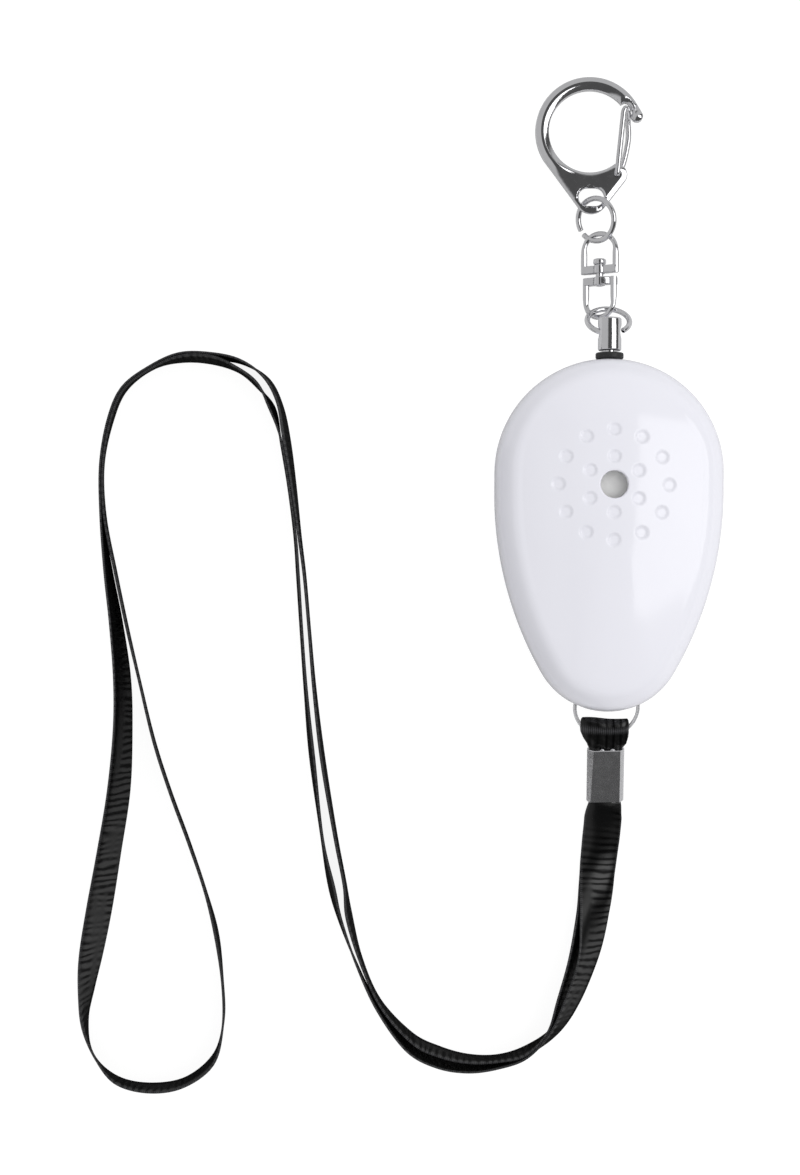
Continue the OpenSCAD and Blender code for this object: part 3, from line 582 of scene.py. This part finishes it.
def frontShellMesh():
    z0, rise = body["parting"], body["height"] - body["parting"] - body["edgeHigh"]
    hole, lip, fine = sound["hole"] / 2, sound["lip"], sound["fineStep"]

    def roof(xy, down=0):
        return domeHeight(xy, body["edgeIn"], z0 + body["edgeHigh"] - down, rise)

    rings = []
    for a in (90, 65, 40, 20, 0):  # rolled lip of the sound hole
        xy = rays * (hole + lip * (1 - sin(radians(a))))
        rings.append(np.c_[xy, roof(xy) - lip * (1 - cos(radians(a)))])
    for r in np.arange(hole + lip + fine, sound["fineTo"], fine):
        xy = rays * r
        rings.append(np.c_[xy, roof(xy) - dotDepth(xy)])
    last = rings[-1][:, :2]
    edge = rimRing(body["edgeIn"], 0)[:, :2]
    for t in np.linspace(0, 1, 22)[1:-1]:
        xy = last + (edge - last) * t
        rings.append(np.c_[xy, roof(xy)])
    for inset, up in smoothPath(frontEdge, 5)[::-1]:
        rings.append(rimRing(inset, z0 + max(up, body["seam"])))
    rings += insideRings(1, frontInside)
    for t in (1, 0.75, 0.5, 0.25, 0):
        xy = rays * hole + (edge - rays * hole) * t
        rings.append(np.c_[xy, roof(xy, body["roof"])])
    return loft("frontShell", rings, joinEnds=True)


def backShellMesh():
    z0, middle = body["parting"], rays * 0.4
    floor = rimRing(backEdge[-1][0], 0)[:, :2]
    rings = [np.c_[middle + (floor - middle) * t, np.zeros(len(rays))] for t in (0, 0.3, 0.6, 0.85, 0.97)]
    for inset, up in smoothPath(backEdge, 5)[::-1]:
        rings.append(rimRing(inset, z0 + min(up, -body["seam"])))
    rings += insideRings(-1, backInside)
    inside = rings[-1]
    rings += [np.c_[inside[:, :2] * t, inside[:, 2]] for t in (0.5, 0.02)]
    mesh = loft("backShell", rings)
    bosses = []
    seat, hole, boss, foot, deep = (screws[k] for k in ("seat", "hole", "boss", "foot", "deep"))
    top = z0 - screws["short"]
    for x, y in screws["at"]:
        bore = latheMesh("bore", [(-1, seat + 0.2), (3, seat + 0.2)], 40)
        post = latheMesh("boss", [(foot, seat), (deep, seat), (deep, hole), (top, hole), (top, boss), (foot, boss)],
                         40, tube=True)
        for turned in (bore, post):
            turned.transform(moveBy((x, y, 0)) @ turnBy(90, "X"))
        mesh = carve(mesh, bore)
        bosses.append(post)
    return joinMeshes("backShell", [slotted(mesh)] + bosses)


def slotted(mesh):
    for side in (-1, 1):
        xs = sorted((side * (bailSlot["at"] - bailSlot["inner"]), side * (bailSlot["at"] + bailSlot["outer"])))
        low = (xs[0], bailSlot["y"][0], body["parting"] - bailSlot["half"])
        high = (xs[1], bailSlot["y"][1], body["parting"] + bailSlot["half"])
        mesh = carve(mesh, roundedBox("slot", low, high, bailSlot["ease"]))
    return mesh


addPiece("frontShell", slotted(frontShellMesh()), shellWhite, "housing", "front_shell", 40)
addPiece("backShell", backShellMesh(), shellWhite, "housing", "back_shell", 40)
print("shells made")

# thin sounding plate, pressed up in the middle under the hole
plate = {"under": 15.25, "thick": 0.25, "radius": 13.3, "capHigh": 17, "cap": 3.2, "capFoot": 4.6, "dish": 0.15}
low, high, cap, foot = plate["under"], plate["under"] + plate["thick"], plate["cap"], plate["capFoot"]
plateRings = [(low, 0.05), (low, plate["radius"]), (high, plate["radius"]), (high, foot + 0.4), (high + 0.35, foot),
              (plate["capHigh"] - 0.2, cap + 0.2)]
plateRings += [(plate["capHigh"] - plate["dish"] * (1 - (r / cap) ** 2), r) for r in np.linspace(cap, 0.05, 14)]
addPiece("sounderPlate", latheMesh("sounderPlate", plateRings), slotFinish["spring_brass"], "housing",
         "sounder_plate", 40, turnBy(90, "X"))

# pull pin and its rubber grommet, about the pin's axis
pin = {"axis": (0, 0, 9), "shank": 1.2, "tip": 13.2, "headFrom": 26.3, "headLong": 6.4, "head": 2.25, "ease": 0.35,
       "holeY": 29.9, "hole": 1.15, "flare": ((1.9, 0), (2.35, 0.25), (4, 0.9))}
grommet = {"from": 24.72, "high": 1.2, "collar": 2.7, "neck": 2, "inside": 21.17, "inner": 22.37, "bore": 1.26,
           "ease": 0.3}
onPin = moveBy(pin["axis"])


def eased(y0, y1, r, ease, steps=4):
    # a drum's profile with rounded rims
    turn = [radians(90 * k / steps) for k in range(steps + 1)]
    low = [(y0 + ease * (1 - sin(a)), r - ease * (1 - cos(a))) for a in turn[::-1]]
    return low + [(y1 - ease * (1 - sin(a)), r - ease * (1 - cos(a))) for a in turn]


tip, headFrom, headEnd = pin["tip"], pin["headFrom"], pin["headFrom"] + pin["headLong"]
pinLine = [(tip, 0.2), (tip, 0.55), (tip + 1.2, pin["shank"]), (headFrom, pin["shank"])]
pinLine += eased(headFrom, headEnd, pin["head"], pin["ease"]) + [(headEnd, 0.2)]
flare = [(y, pin["hole"] + more) for y, more in pin["flare"]]
eyelet = latheMesh("eyelet", [(-y, r) for y, r in flare[::-1]] + flare, 40)
eyelet.transform(moveBy((0, pin["holeY"], 0)) @ turnBy(90, "Z"))
pinMesh = carve(latheMesh("pullPin", pinLine), eyelet)
addPiece("pullPin", pinMesh, brightPlate, "pin", "pull_pin", 30, onPin)

g, top, ease = grommet, grommet["from"] + grommet["high"], grommet["ease"]
grommetLine = [(g["inside"], g["bore"]), (g["inside"], g["collar"] - ease), (g["inside"] + ease, g["collar"]),
               (g["inner"], g["collar"]), (g["inner"], g["neck"]), (g["from"], g["neck"])]
grommetLine += eased(g["from"], top, g["collar"], ease) + [(top, g["bore"])]
grommetMesh = latheMesh("pinGrommet", grommetLine, 48, tube=True)
addPiece("pinGrommet", grommetMesh, blackRubber, "housing", "pin_grommet", at=onPin)
print("pin made")

# jump rings of round wire, and the swivel between them
link = {"radius": 4.1, "wire": 0.53, "gap": 14, "pinTilt": 48, "pinReach": 3.8, "pinCut": -58,
        "clipAt": (-2.3, 52.65, 3.4), "clipTilt": 37.6, "clipLean": 14.4, "clipCut": 221}
swivel = {"at": (-1.45, 41.8, 2.9), "dip": 2.8, "gap": 0.8, "lowerRoll": -30, "upperRoll": 24.5, "lowerBow": 2.95,
          "upperBow": 3.25, "long": 7.85, "wire": 0.52, "base": 1.5, "deep": 1.6, "barrel": 1.15, "collar": 0.12,
          "slope": (0.65, -1.5), "under": -0.6, "baseOver": 0.3, "ridgeFrom": 2.2, "ridgeOver": 2,
          "corner": (0.09, 0.04, 0.012),
          "leg": ((0.45, -0.58), (0.62, 0.3), (0.4, 0.48), (-0.02, 0.6), (-0.62, 0.3), (-0.45, -0.58))}
rivet = {"neck": 0.72, "head": 1.25, "headHigh": 1.2, "headGap": 0.12}


def jumpRing(name, cut):
    a0, a1 = radians(cut + link["gap"] / 2 + 1), radians(cut + 360 - link["gap"] / 2 - 1)
    return wireMesh(name, ringPath(link["radius"], np.linspace(a0, a1, 120)), link["wire"], 24, ease=0.12)


inHole = moveBy((0, pin["holeY"], pin["axis"][2])) @ turnBy(-link["pinTilt"], "X") @ moveBy((0, link["pinReach"], 0))
inClip = moveBy(link["clipAt"]) @ turnBy(link["clipLean"], "X") @ turnBy(-link["clipTilt"], "Y")
addPiece("pinRing", jumpRing("pinRing", link["pinCut"]), brightPlate, "pin_ring", "pin_ring", 60, inHole)
addPiece("clipRing", jumpRing("clipRing", link["clipCut"]), brightPlate, "clip_ring", "clip_ring", 60, inClip)


def roundOrder(points):
    return sorted(points, key=lambda q: atan2(q.y, q.x) % (2 * pi))


def legSection(roll, flip):
    # the leg's six-sided section, its ridge kept upwards however the yoke is rolled, with its corners eased
    c, s = cos(radians(roll)), sin(radians(roll))
    p = [Vector((flip * x * c - z * s, flip * x * s + z * c)) for x, z in swivel["leg"][::flip]]
    far, near, tip = swivel["corner"]
    line = []
    for i, q in enumerate(p):
        back, on = (p[i - 1] - q).normalized(), (p[(i + 1) % len(p)] - q).normalized()
        line += [q + back * far, q + back * near, q + (back + on) * tip, q + on * near, q + on * far]
    return roundOrder(line)


def yokeMesh(name, bore, r, roll, flip, wedge):
    # bow at the origin and legs up Y; round at the bow, ridged on the legs
    long = swivel["long"]
    line = [(r, y) for y in np.linspace(long - 0.02, r, 14)[:-1]]
    line += [(r * cos(a), r + r * sin(a)) for a in np.linspace(0, -pi, 41)]
    line += [(-r, y) for y in np.linspace(r, long - 0.02, 14)[1:]]
    left = legSection(roll, flip)
    right = roundOrder([Vector((-q.x, q.y)) for q in left])
    rings = []
    for i, (x, y) in enumerate(line):
        t = heading(line, i)
        n = Vector((t.y, -t.x, 0))
        square = soften(min(max((y - swivel["ridgeFrom"]) / swivel["ridgeOver"], 0), 1))
        along = i / (len(line) - 1)
        ring = []
        for p, q in zip(right, left):
            leg = p * (1 - along) + q * along if 0.3 < along < 0.7 else p if along < 0.5 else q
            spot = leg.normalized() * swivel["wire"] * (1 - square) + leg * square
            ring.append(Vector((x, y, 0)) + n * spot.x + Vector((0, 0, spot.y)))
        rings.append(ring)
    legs = loft(name, rings)
    half, low, side = swivel["deep"] / 2, long - swivel["base"], r + swivel["baseOver"]
    bars = [roundedBox("bar", (x0, low, -half), (x1, long, half), 0.2, 3)
            for x0, x1 in ((-side, -bore - 0.15), (bore + 0.05, side))]
    for v in bars[1].vertices if wedge else ():
        t, up = (v.co.x - bore) / (side - bore), (v.co.z + half) / (2 * half)
        v.co.z += up * (swivel["slope"][0] * (1 - t) + swivel["slope"][1] * t) + (1 - up) * swivel["under"] * t
    foot, top = low - swivel["collar"], long + 0.05
    barrelLine = [(foot, bore), (top, bore)] + eased(foot, top, swivel["barrel"], 0.18)[::-1]
    return joinMeshes(name, [legs] + bars + [latheMesh("barrel", barrelLine, 40, tube=True)])


onSwivel = moveBy(swivel["at"]) @ turnBy(-swivel["dip"], "X")
downYoke = moveBy((0, -swivel["gap"] / 2 - swivel["long"], 0))
lowerMesh = yokeMesh("yokeLower", rivet["neck"] + 0.01, swivel["lowerBow"], swivel["lowerRoll"], 1, True)
addPiece("yokeLower", lowerMesh, brightPlate, "swivel_lower", "yoke_lower", 35,
         onSwivel @ turnBy(swivel["lowerRoll"], "Y") @ downYoke)
upperMesh = yokeMesh("yokeUpper", rivet["neck"] + 0.08, swivel["upperBow"], swivel["upperRoll"], -1, False)
addPiece("yokeUpper", upperMesh, brightPlate, "swivel_upper", "yoke_upper", 35,
         onSwivel @ turnBy(180, "Z") @ turnBy(swivel["upperRoll"], "Y") @ downYoke)
base = swivel["gap"] / 2 + swivel["base"]
headFrom = base + swivel["collar"] + rivet["headGap"]
headEnd = base + rivet["headGap"] + rivet["headHigh"]
rivetLine = [(-base - 0.25, 0.1), (-base - 0.25, 0.5), (-base - 0.05, rivet["neck"]), (headFrom, rivet["neck"])]
rivetLine += eased(headFrom, headEnd, rivet["head"], 0.3) + [(headEnd, 0.1)]
addPiece("swivelRivet", latheMesh("swivelRivet", rivetLine, 40), brightPlate, "swivel_lower", "swivel_rivet",
         30, onSwivel)
print("chain made")

# cast clip: a plate whose edges slope up to a ridge or a flat, thinner at the eye
clip = {"at": (-3.7, 69.8, 3.5), "outer": 10.65, "inner": 8, "nose": 18.5, "nub": 1.17, "nubAt": 9.72, "notch": 41,
        "notchR": 9.15, "armFrom": 212, "slopeWide": 1.05, "eyeSlope": 0.36, "thin": 0.58, "thinFrom": -6,
        "thinTo": -9.5, "eye": (0.4, -12.8), "eyeR": 1.75, "eyeHalf": 0.75, "rim": 3.3, "rimTurn": (218, 322),
        "ear": (5.3, -8.4), "earR": 2.1, "earTurn": (-38, 95), "pivot": 0.58, "grid": 0.3, "step": 0.22,
        "holeStep": 0.12,
        "rise": ((0, 0.42), (0.04, 0.6), (0.08, 0.7), (0.13, 0.77), (0.19, 0.82), (1, 1.2))}
# the gate's wire, from its pivot over the top of the clip and back underneath
gate = {"wire": 0.55,
        "line": ((0, 0, 0.03), (0, 0, 0.5), (0.02, 0.12, 1.27), (0.12, 0.8, 1.45), (0.5, 5, 1.45), (1.05, 10.6, 1.45),
                 (1.2, 12, 1.45), (1.55, 12.75, 1.334), (2, 12.55, 0.725), (2.2, 12, -0.1), (2.3, 11.3, -1.0875),
                 (2.35, 10.4, -1.45), (2.4, 7.1, -1.45), (1.5, 2.6, -1.45), (0.3, 0.35, -1.45), (0, 0.03, -1.15),
                 (0, 0, -0.5), (0, 0, -0.03))}


def arcLine(centre, r, a, b, step):
    n = max(int(abs(radians(b - a)) * r / step), 2)
    return [polar(r, t, centre) for t in np.linspace(a, b, n)]


def straightLine(a, b, step):
    n = max(int(np.hypot(b[0] - a[0], b[1] - a[1]) / step), 2)
    return [(a[0] + (b[0] - a[0]) * t, a[1] + (b[1] - a[1]) * t) for t in np.linspace(0, 1, n)]


def clipOutline():
    c, s, middle = clip, clip["step"], (0, 0)
    line = arcLine(polar(c["nubAt"], c["nose"]), c["nub"], c["nose"] - 236, c["nose"] + 14, s)
    line += arcLine(middle, c["outer"], c["nose"] + 12, c["armFrom"], s)
    line += straightLine(line[-1], polar(c["rim"], c["rimTurn"][0], c["eye"]), s)
    line += arcLine(c["eye"], c["rim"], *c["rimTurn"], s)
    line += straightLine(line[-1], polar(c["earR"], c["earTurn"][0], c["ear"]), s)
    line += arcLine(c["ear"], c["earR"], *c["earTurn"], s)
    start = atan2(c["ear"][1] + c["earR"], c["ear"][0] - 0.3) * 180 / pi
    line += arcLine(middle, c["inner"], start, c["notch"] - 360, s)
    line += [polar(c["notchR"] - 0.35, c["notch"] - 1.2)]
    line += arcLine(middle, c["notchR"], c["notch"] - 4, c["nose"] + 7.5, s)
    return cleaned(line, s)


def cleaned(line, step):
    kept = []
    for p in line:
        if not kept or np.hypot(p[0] - kept[-1][0], p[1] - kept[-1][1]) > step * 0.45:
            kept.append(p)
    while np.hypot(kept[0][0] - kept[-1][0], kept[0][1] - kept[-1][1]) < step * 0.45:
        kept.pop()
    return np.array(kept)


def plateMesh(name, loops, widths, heightAt, grid):
    # fills the outline, then raises each point by how far it is from the nearest sloped edge,
    # as a share of that slope's width
    edges = np.concatenate([np.c_[l, np.roll(l, -1, 0)] for l in loops])
    sloped = [(np.c_[l, np.roll(l, -1, 0)], w) for l, w in zip(loops, widths) if w]

    def nearest(p, lines):
        a, d = lines[:, :2], lines[:, 2:] - lines[:, :2]
        t = np.clip(((p[:, None] - a) * d).sum(2) / (d * d).sum(1), 0, 1)
        return np.sqrt((((a + t[..., None] * d) - p[:, None]) ** 2).sum(2)).min(1)

    def share(p):
        return np.min([nearest(p, lines) / w for lines, w in sloped], axis=0)

    def inside(p):
        count = np.zeros(len(p), int)
        for x0, y0, x1, y1 in edges:
            cross = (x1 - x0) * (p[:, 1] - y0) / (y1 - y0 + 1e-12) + x0
            count += ((y0 > p[:, 1]) != (y1 > p[:, 1])) & (p[:, 0] < cross)
        return count % 2 == 1

    low, high = loops[0].min(0), loops[0].max(0)
    spots = np.stack(np.meshgrid(np.arange(low[0], high[0], grid), np.arange(low[1], high[1], grid)), -1).reshape(-1, 2)
    spots[::2, 0] += grid * 0.25
    free = [spots[inside(spots) & (share(spots) > 1.25) & (nearest(spots, edges) > grid * 0.6)]]
    for part in (0.04, 0.08, 0.13, 0.19, 0.58, 0.97, 1.03):  # rows of points along each slope
        for l, w in zip(loops, widths):
            t = np.roll(l, -1, 0) - np.roll(l, 1, 0)
            n = np.c_[t[:, 1], -t[:, 0]] / np.hypot(*t.T)[:, None]
            for side in (part, -part) if w else ():
                q = l + n * side * w
                free.append(q[inside(q) & (share(q) > part - 0.015) & (nearest(q, edges) > 0.025)])
    segments, k = [], 0
    for l in loops:
        segments += [(k + i, k + (i + 1) % len(l)) for i in range(len(l))]
        k += len(l)
    corners = [Vector(p) for p in np.concatenate(loops + free)]
    verts, _, faces, _, _, _ = delaunay_2d_cdt(corners, segments, [], 0, 1e-5)
    flat = np.array([tuple(v) for v in verts])
    keep = inside(np.array([flat[list(f)].mean(0) for f in faces]))
    faces = [tuple(f) for f, k in zip(faces, keep) if k]
    high = heightAt(flat, share(flat))
    n = len(flat)
    points = np.concatenate([np.c_[flat, high], np.c_[flat, -high]])
    skin = faces + [tuple(n + i for i in f[::-1]) for f in faces]
    border = {(f[i], f[(i + 1) % len(f)]) for f in faces for i in range(len(f))}
    skin += [(a, a + n, b + n, b) for a, b in sorted(border) if (b, a) not in border]
    mesh = meshOf(name, points, skin)
    work = bmesh.new()
    work.from_mesh(mesh)
    bmesh.ops.delete(work, geom=[v for v in work.verts if not v.link_faces], context="VERTS")
    work.to_mesh(mesh)
    work.free()
    return mesh


def clipHeight(p, share):
    thin = soften(np.clip((clip["thinFrom"] - p[:, 1]) / (clip["thinFrom"] - clip["thinTo"]), 0, 1))
    return np.interp(share, *zip(*clip["rise"])) * (1 - (1 - clip["thin"]) * thin)


(ex, ey), half, fine = clip["eye"], clip["eyeHalf"], clip["holeStep"]
eyeLine = arcLine((ex + half, ey), clip["eyeR"], -90, 90, fine) + arcLine((ex - half, ey), clip["eyeR"], 90, 270, fine)
pivotLine = arcLine(clip["ear"], clip["pivot"], 0, 360, fine)
clipLoops = [clipOutline(), cleaned(eyeLine, fine), cleaned(pivotLine, fine)]
hookMesh = plateMesh("clipHook", clipLoops, (clip["slopeWide"], clip["eyeSlope"], None), clipHeight, clip["grid"])
addPiece("clipHook", hookMesh, brightPlate, "clip", "clip_hook", 30, moveBy(clip["at"]))
gateLine = [(clip["ear"][0] + x, clip["ear"][1] + y, z) for x, y, z in gate["line"]]
gateMesh = wireMesh("clipGate", smoothPath(gateLine, 8), gate["wire"], 18, ease=0.02)
addPiece("clipGate", gateMesh, brightPlate, "gate", "clip_gate", 60, moveBy(clip["at"]))
print("clip made")

# bail, ribbon fold and crimp, in the bail's own tilted frame
bail = {"at": (0, -42.5, 9), "radius": 6.1, "wire": 0.36, "dip": 20.7, "lean": 1.6}
fold = {"top": -2.3, "low": -8.9, "tail": -18.4, "roll": 1.5, "neckThick": 0.55, "around": 96, "half": 5, "sheenBand": 2,
        "sheenBandWide": 1, "aside": -0.3, "wave": 0.3, "gatherFrom": 2.6, "gatherOver": 2.6, "bulge": 0.3,
        "wide": ((0, 4.35), (0.4, 4.6), (1.6, 4.78), (2.8, 4.68), (3.8, 4.35), (5, 3.75), (5.8, 3.5), (6.2, 3.2),
                 (7, 3.1)),
        "thick": ((0, 1.5), (1.6, 1.55), (3, 1.35), (5, 1.15), (6.2, 0.78), (7, 0.55))}
# teeth: place across, front or back, upper or lower mouth
crimp = {"top": -8.7, "long": 11.2, "wide": 7.25, "thick": 2.6, "sheet": 0.5, "ease": 0.12, "bevel": (1.2, 0.65),
         "teeth": ((-0.75, 1, 1), (1.25, 1, 1), (1.6, 1, -1), (-1.1, -1, 1), (0.9, -1, -1)), "toothLean": 24,
         "tooth": ((0, 0.52), (0.14, 0.46), (0.3, 0.28), (0.38, 0.05)), "toothFlat": 0.45}
onBail = moveBy(bail["at"]) @ turnBy(bail["dip"], "X")
onStrap = onBail @ turnBy(bail["lean"], "Z")
bailMesh = wireMesh("strapBail", ringPath(bail["radius"], turns(120)), bail["wire"], 16, closed=True)
addPiece("strapBail", bailMesh, bailSteel, "bail", "strap_bail", 60, onBail)


def held(t):
    return min(max(t, 0), 1)


def foldMesh():
    # ribbon rolled over the wire, slack and wavy along the top, gathered in towards the crimp
    f = fold
    ys = [f["top"] - f["roll"] * (1 - cos(a)) for a in np.linspace(0.1, pi / 2, 11)]
    ys += list(np.linspace(f["top"] - f["roll"], f["low"], 30)[1:]) + [f["low"] - 0.5, f["tail"]]
    rings, bands = [], []
    for y in ys:
        down = f["top"] - y
        roll = sqrt(max(1 - (1 - min(down / f["roll"], 1)) ** 2, 0.0004))
        wide = between(f["wide"], down)
        gather = held((down - f["gatherFrom"]) / f["gatherOver"])
        thick = between(f["thick"], down) if y >= f["low"] else f["neckThick"]
        power = 2.6 + 2 * gather
        ring = []
        for a in turns(f["around"]):
            c, s = cos(a), sin(a)
            size = (abs(c) ** power + abs(s) ** power) ** (-1 / power)
            x = c * size * wide
            wave = f["wave"] * cos(0.5 * (x + 4.2)) * max(1 - down / 4, 0)
            x += f["bulge"] * gather * held(x / 2) * held((6 - down) / 0.8)
            pleat = 1 + gather * (0.1 * sin(x * 2.9 + 1.3) + 0.07 * sin(y * 3 + 2 * x)) + 0.03 * sin(x * 1.7 + y)
            deep = s * size * thick * roll * (pleat if y >= f["low"] else 1)
            ring.append((x + f["aside"] * (1 - gather), y + wave, deep))
        rings.append(ring)
        # v reaches the half width along the painted sheen band, so the weave's edge mask paints it lighter there
        bands.append(f["half"] - 0.7 * min(abs(down - f["sheenBand"]) / f["sheenBandWide"], 1))
    # threads run down the roll, and a band across the roll is painted lighter: a painted sheen
    return weaveMap(loft("strapFold", rings), f["around"], lambda ring, spot: (rings[ring][spot][0], bands[ring]))


def crimpMesh():
    # sheet wrapped flat round the ribbon, a butt seam behind and small bent teeth at the mouth
    c = crimp
    r, w = c["thick"] / 2, c["wide"] / 2

    def outline(inset, down):
        # flat front, a broad pressed bevel on the left that narrows downwards, small bevels on the right, round behind
        left = c["bevel"][0] + (c["bevel"][1] - c["bevel"][0]) * down
        front = [(w, 0), (w - 0.04, 0.4), (w - 0.3, 0.78), (w - 0.36, 0.83), (w - 0.88, r), (left - w, r),
                 (0.05 - w, 0.45), (-w, 0)]
        behind = [(r - w - r * cos(radians(a)), -r * sin(radians(a))) for a in range(15, 91, 15)]
        line = front + behind + [(-x, z) for x, z in behind[::-1]]
        return [(x * (1 - inset / w), z * (1 - inset / r)) for x, z in line]

    y0, y1, e, sheet = c["top"], c["top"] - c["long"], c["ease"], c["sheet"]
    rows = [(y0 - e, 0), (y1 + e, 0), (y1 + 0.03, e * 0.7), (y1, e * 1.6), (y1, sheet), (y0, sheet), (y0, e * 1.6),
            (y0 - 0.03, e * 0.7)]
    rings = [[(x, y, z) for x, z in outline(inset, (y0 - y) / c["long"])] for y, inset in rows]
    seam = roundedBox("seam", (-0.11, y1 - 1, -r - 1), (0.11, y0 + 1, -r + 0.3), 0.05)
    parts = [carve(loft("strapCrimp", rings, joinEnds=True), seam)]
    for x, front, up in c["teeth"]:
        spike = latheMesh("tooth", c["tooth"], 16)
        for v in spike.vertices:
            v.co.z *= c["toothFlat"]
        foot = moveBy((x, (y0 if up > 0 else y1) - 0.04 * up, front * (r - 0.28)))
        spike.transform(foot @ turnBy(0 if up > 0 else 180, "Z") @ turnBy(-front * up * c["toothLean"], "X"))
        parts.append(spike)
    return joinMeshes("strapCrimp", parts)


addPiece("strapFold", foldMesh(), foldBlack, "bail", "strap_fold", 60, onStrap)
addPiece("strapCrimp", crimpMesh(), crimpSteel, "bail", "strap_crimp", 16, onStrap)
print("bail, fold and crimp made")

# CAD nodes that still show take their slot's finish
slotOf = {s["node"]: s["material_slot"] for s in frame["record"]["subparts"]}
for name, node in frame["nodes"].items():
    if not node.hide_render:
        node.data.materials.clear()
        node.data.materials.append(slotFinish[slotOf[name]])

# white table, still faintly shaded under the object
table = {"size": 6, "glow": 0.9, "shade": 0.2, "bounce": 0.9, "mirrored": 0.58, "drop": 0.0001}
floorMesh = bpy.data.meshes.new("table")
s = table["size"] / 2
floorMesh.from_pydata([(-s, -s, 0), (s, -s, 0), (s, s, 0), (-s, s, 0)], [], [(0, 1, 2, 3)])
floor = addObject("table", floorMesh)
floor.location.z = -table["drop"]
tableWhite, tree, shader = newMaterial("tableWhite")
tree.nodes.remove(shader)
light = put(tree, "ShaderNodeLightPath").outputs
seen = maths(tree, "MAXIMUM", light["Is Camera Ray"], light["Is Transmission Ray"])
matte, mirrored, shaded = (put(tree, "ShaderNodeBsdfDiffuse", {"Color": (table[k],) * 3 + (1,)}).outputs[0]
                           for k in ("bounce", "mirrored", "shade"))
glow = put(tree, "ShaderNodeEmission", {"Color": (1, 1, 1, 1), "Strength": table["glow"]})
white = put(tree, "ShaderNodeAddShader", {0: shaded, 1: glow.outputs[0]})
unseen = put(tree, "ShaderNodeMixShader", {0: light["Is Glossy Ray"], 1: matte, 2: mirrored})
mixed = put(tree, "ShaderNodeMixShader", {0: seen, 1: unseen.outputs[0], 2: white.outputs[0]})
feed(tree, tree.nodes["Material Output"], {0: mixed.outputs[0]})
floorMesh.materials.append(tableWhite)

# studio: soft light all round and stronger from the right; in reflections grey on the left and behind,
# dark elsewhere
studio = {"left": 0.77, "right": 0.79, "overhead": (0.84, 2.1), "mirrorGrey": 0.5, "mirrorDark": 0.08, "panel": 2.4,
          "panelAt": (0.567, 0.085, 0.58), "panelSize": (0.77, 0.5)}
world = bpy.data.worlds.new("studio")
bpy.context.scene.world = world
world.use_nodes = True
world.cycles.sampling_method = "NONE"
tree = world.node_tree
tree.nodes.clear()
way = put(tree, "ShaderNodeSeparateXYZ", {0: put(tree, "ShaderNodeTexCoord").outputs["Generated"]}).outputs


def spread(value, low, high):
    return remap(tree, value, low, high, interpolation_type="SMOOTHSTEP")


sideways = ramp(tree, spread(way[0], -0.8, 0.8), studio["left"], studio["right"])
overhead = ramp(tree, spread(way[2], 0.86, 0.95), *studio["overhead"])
soft = blended(tree, 1.0, sideways, overhead, blend_type="MULTIPLY")
grey = maths(tree, "MAXIMUM", spread(way[0], -0.28, -0.42), spread(way[1], 0.42, 0.6))
mirror = ramp(tree, grey, studio["mirrorDark"], studio["mirrorGrey"])
light = put(tree, "ShaderNodeLightPath").outputs
room = blended(tree, light["Is Glossy Ray"], soft, mirror)
shown = blended(tree, light["Is Camera Ray"], room, (1, 1, 1, 1))
sky = put(tree, "ShaderNodeBackground", {"Color": shown, "Strength": 1.0})
put(tree, "ShaderNodeOutputWorld", {0: sky.outputs[0]})

# bright panel up on the right, seen in the reflections
panel = bpy.data.lights.new("panel", "AREA")
panel.shape = "RECTANGLE"
panel.size, panel.size_y = studio["panelSize"]
panel.energy = studio["panel"]
addObject("panel", panel).location = studio["panelAt"]
print("studio lit")
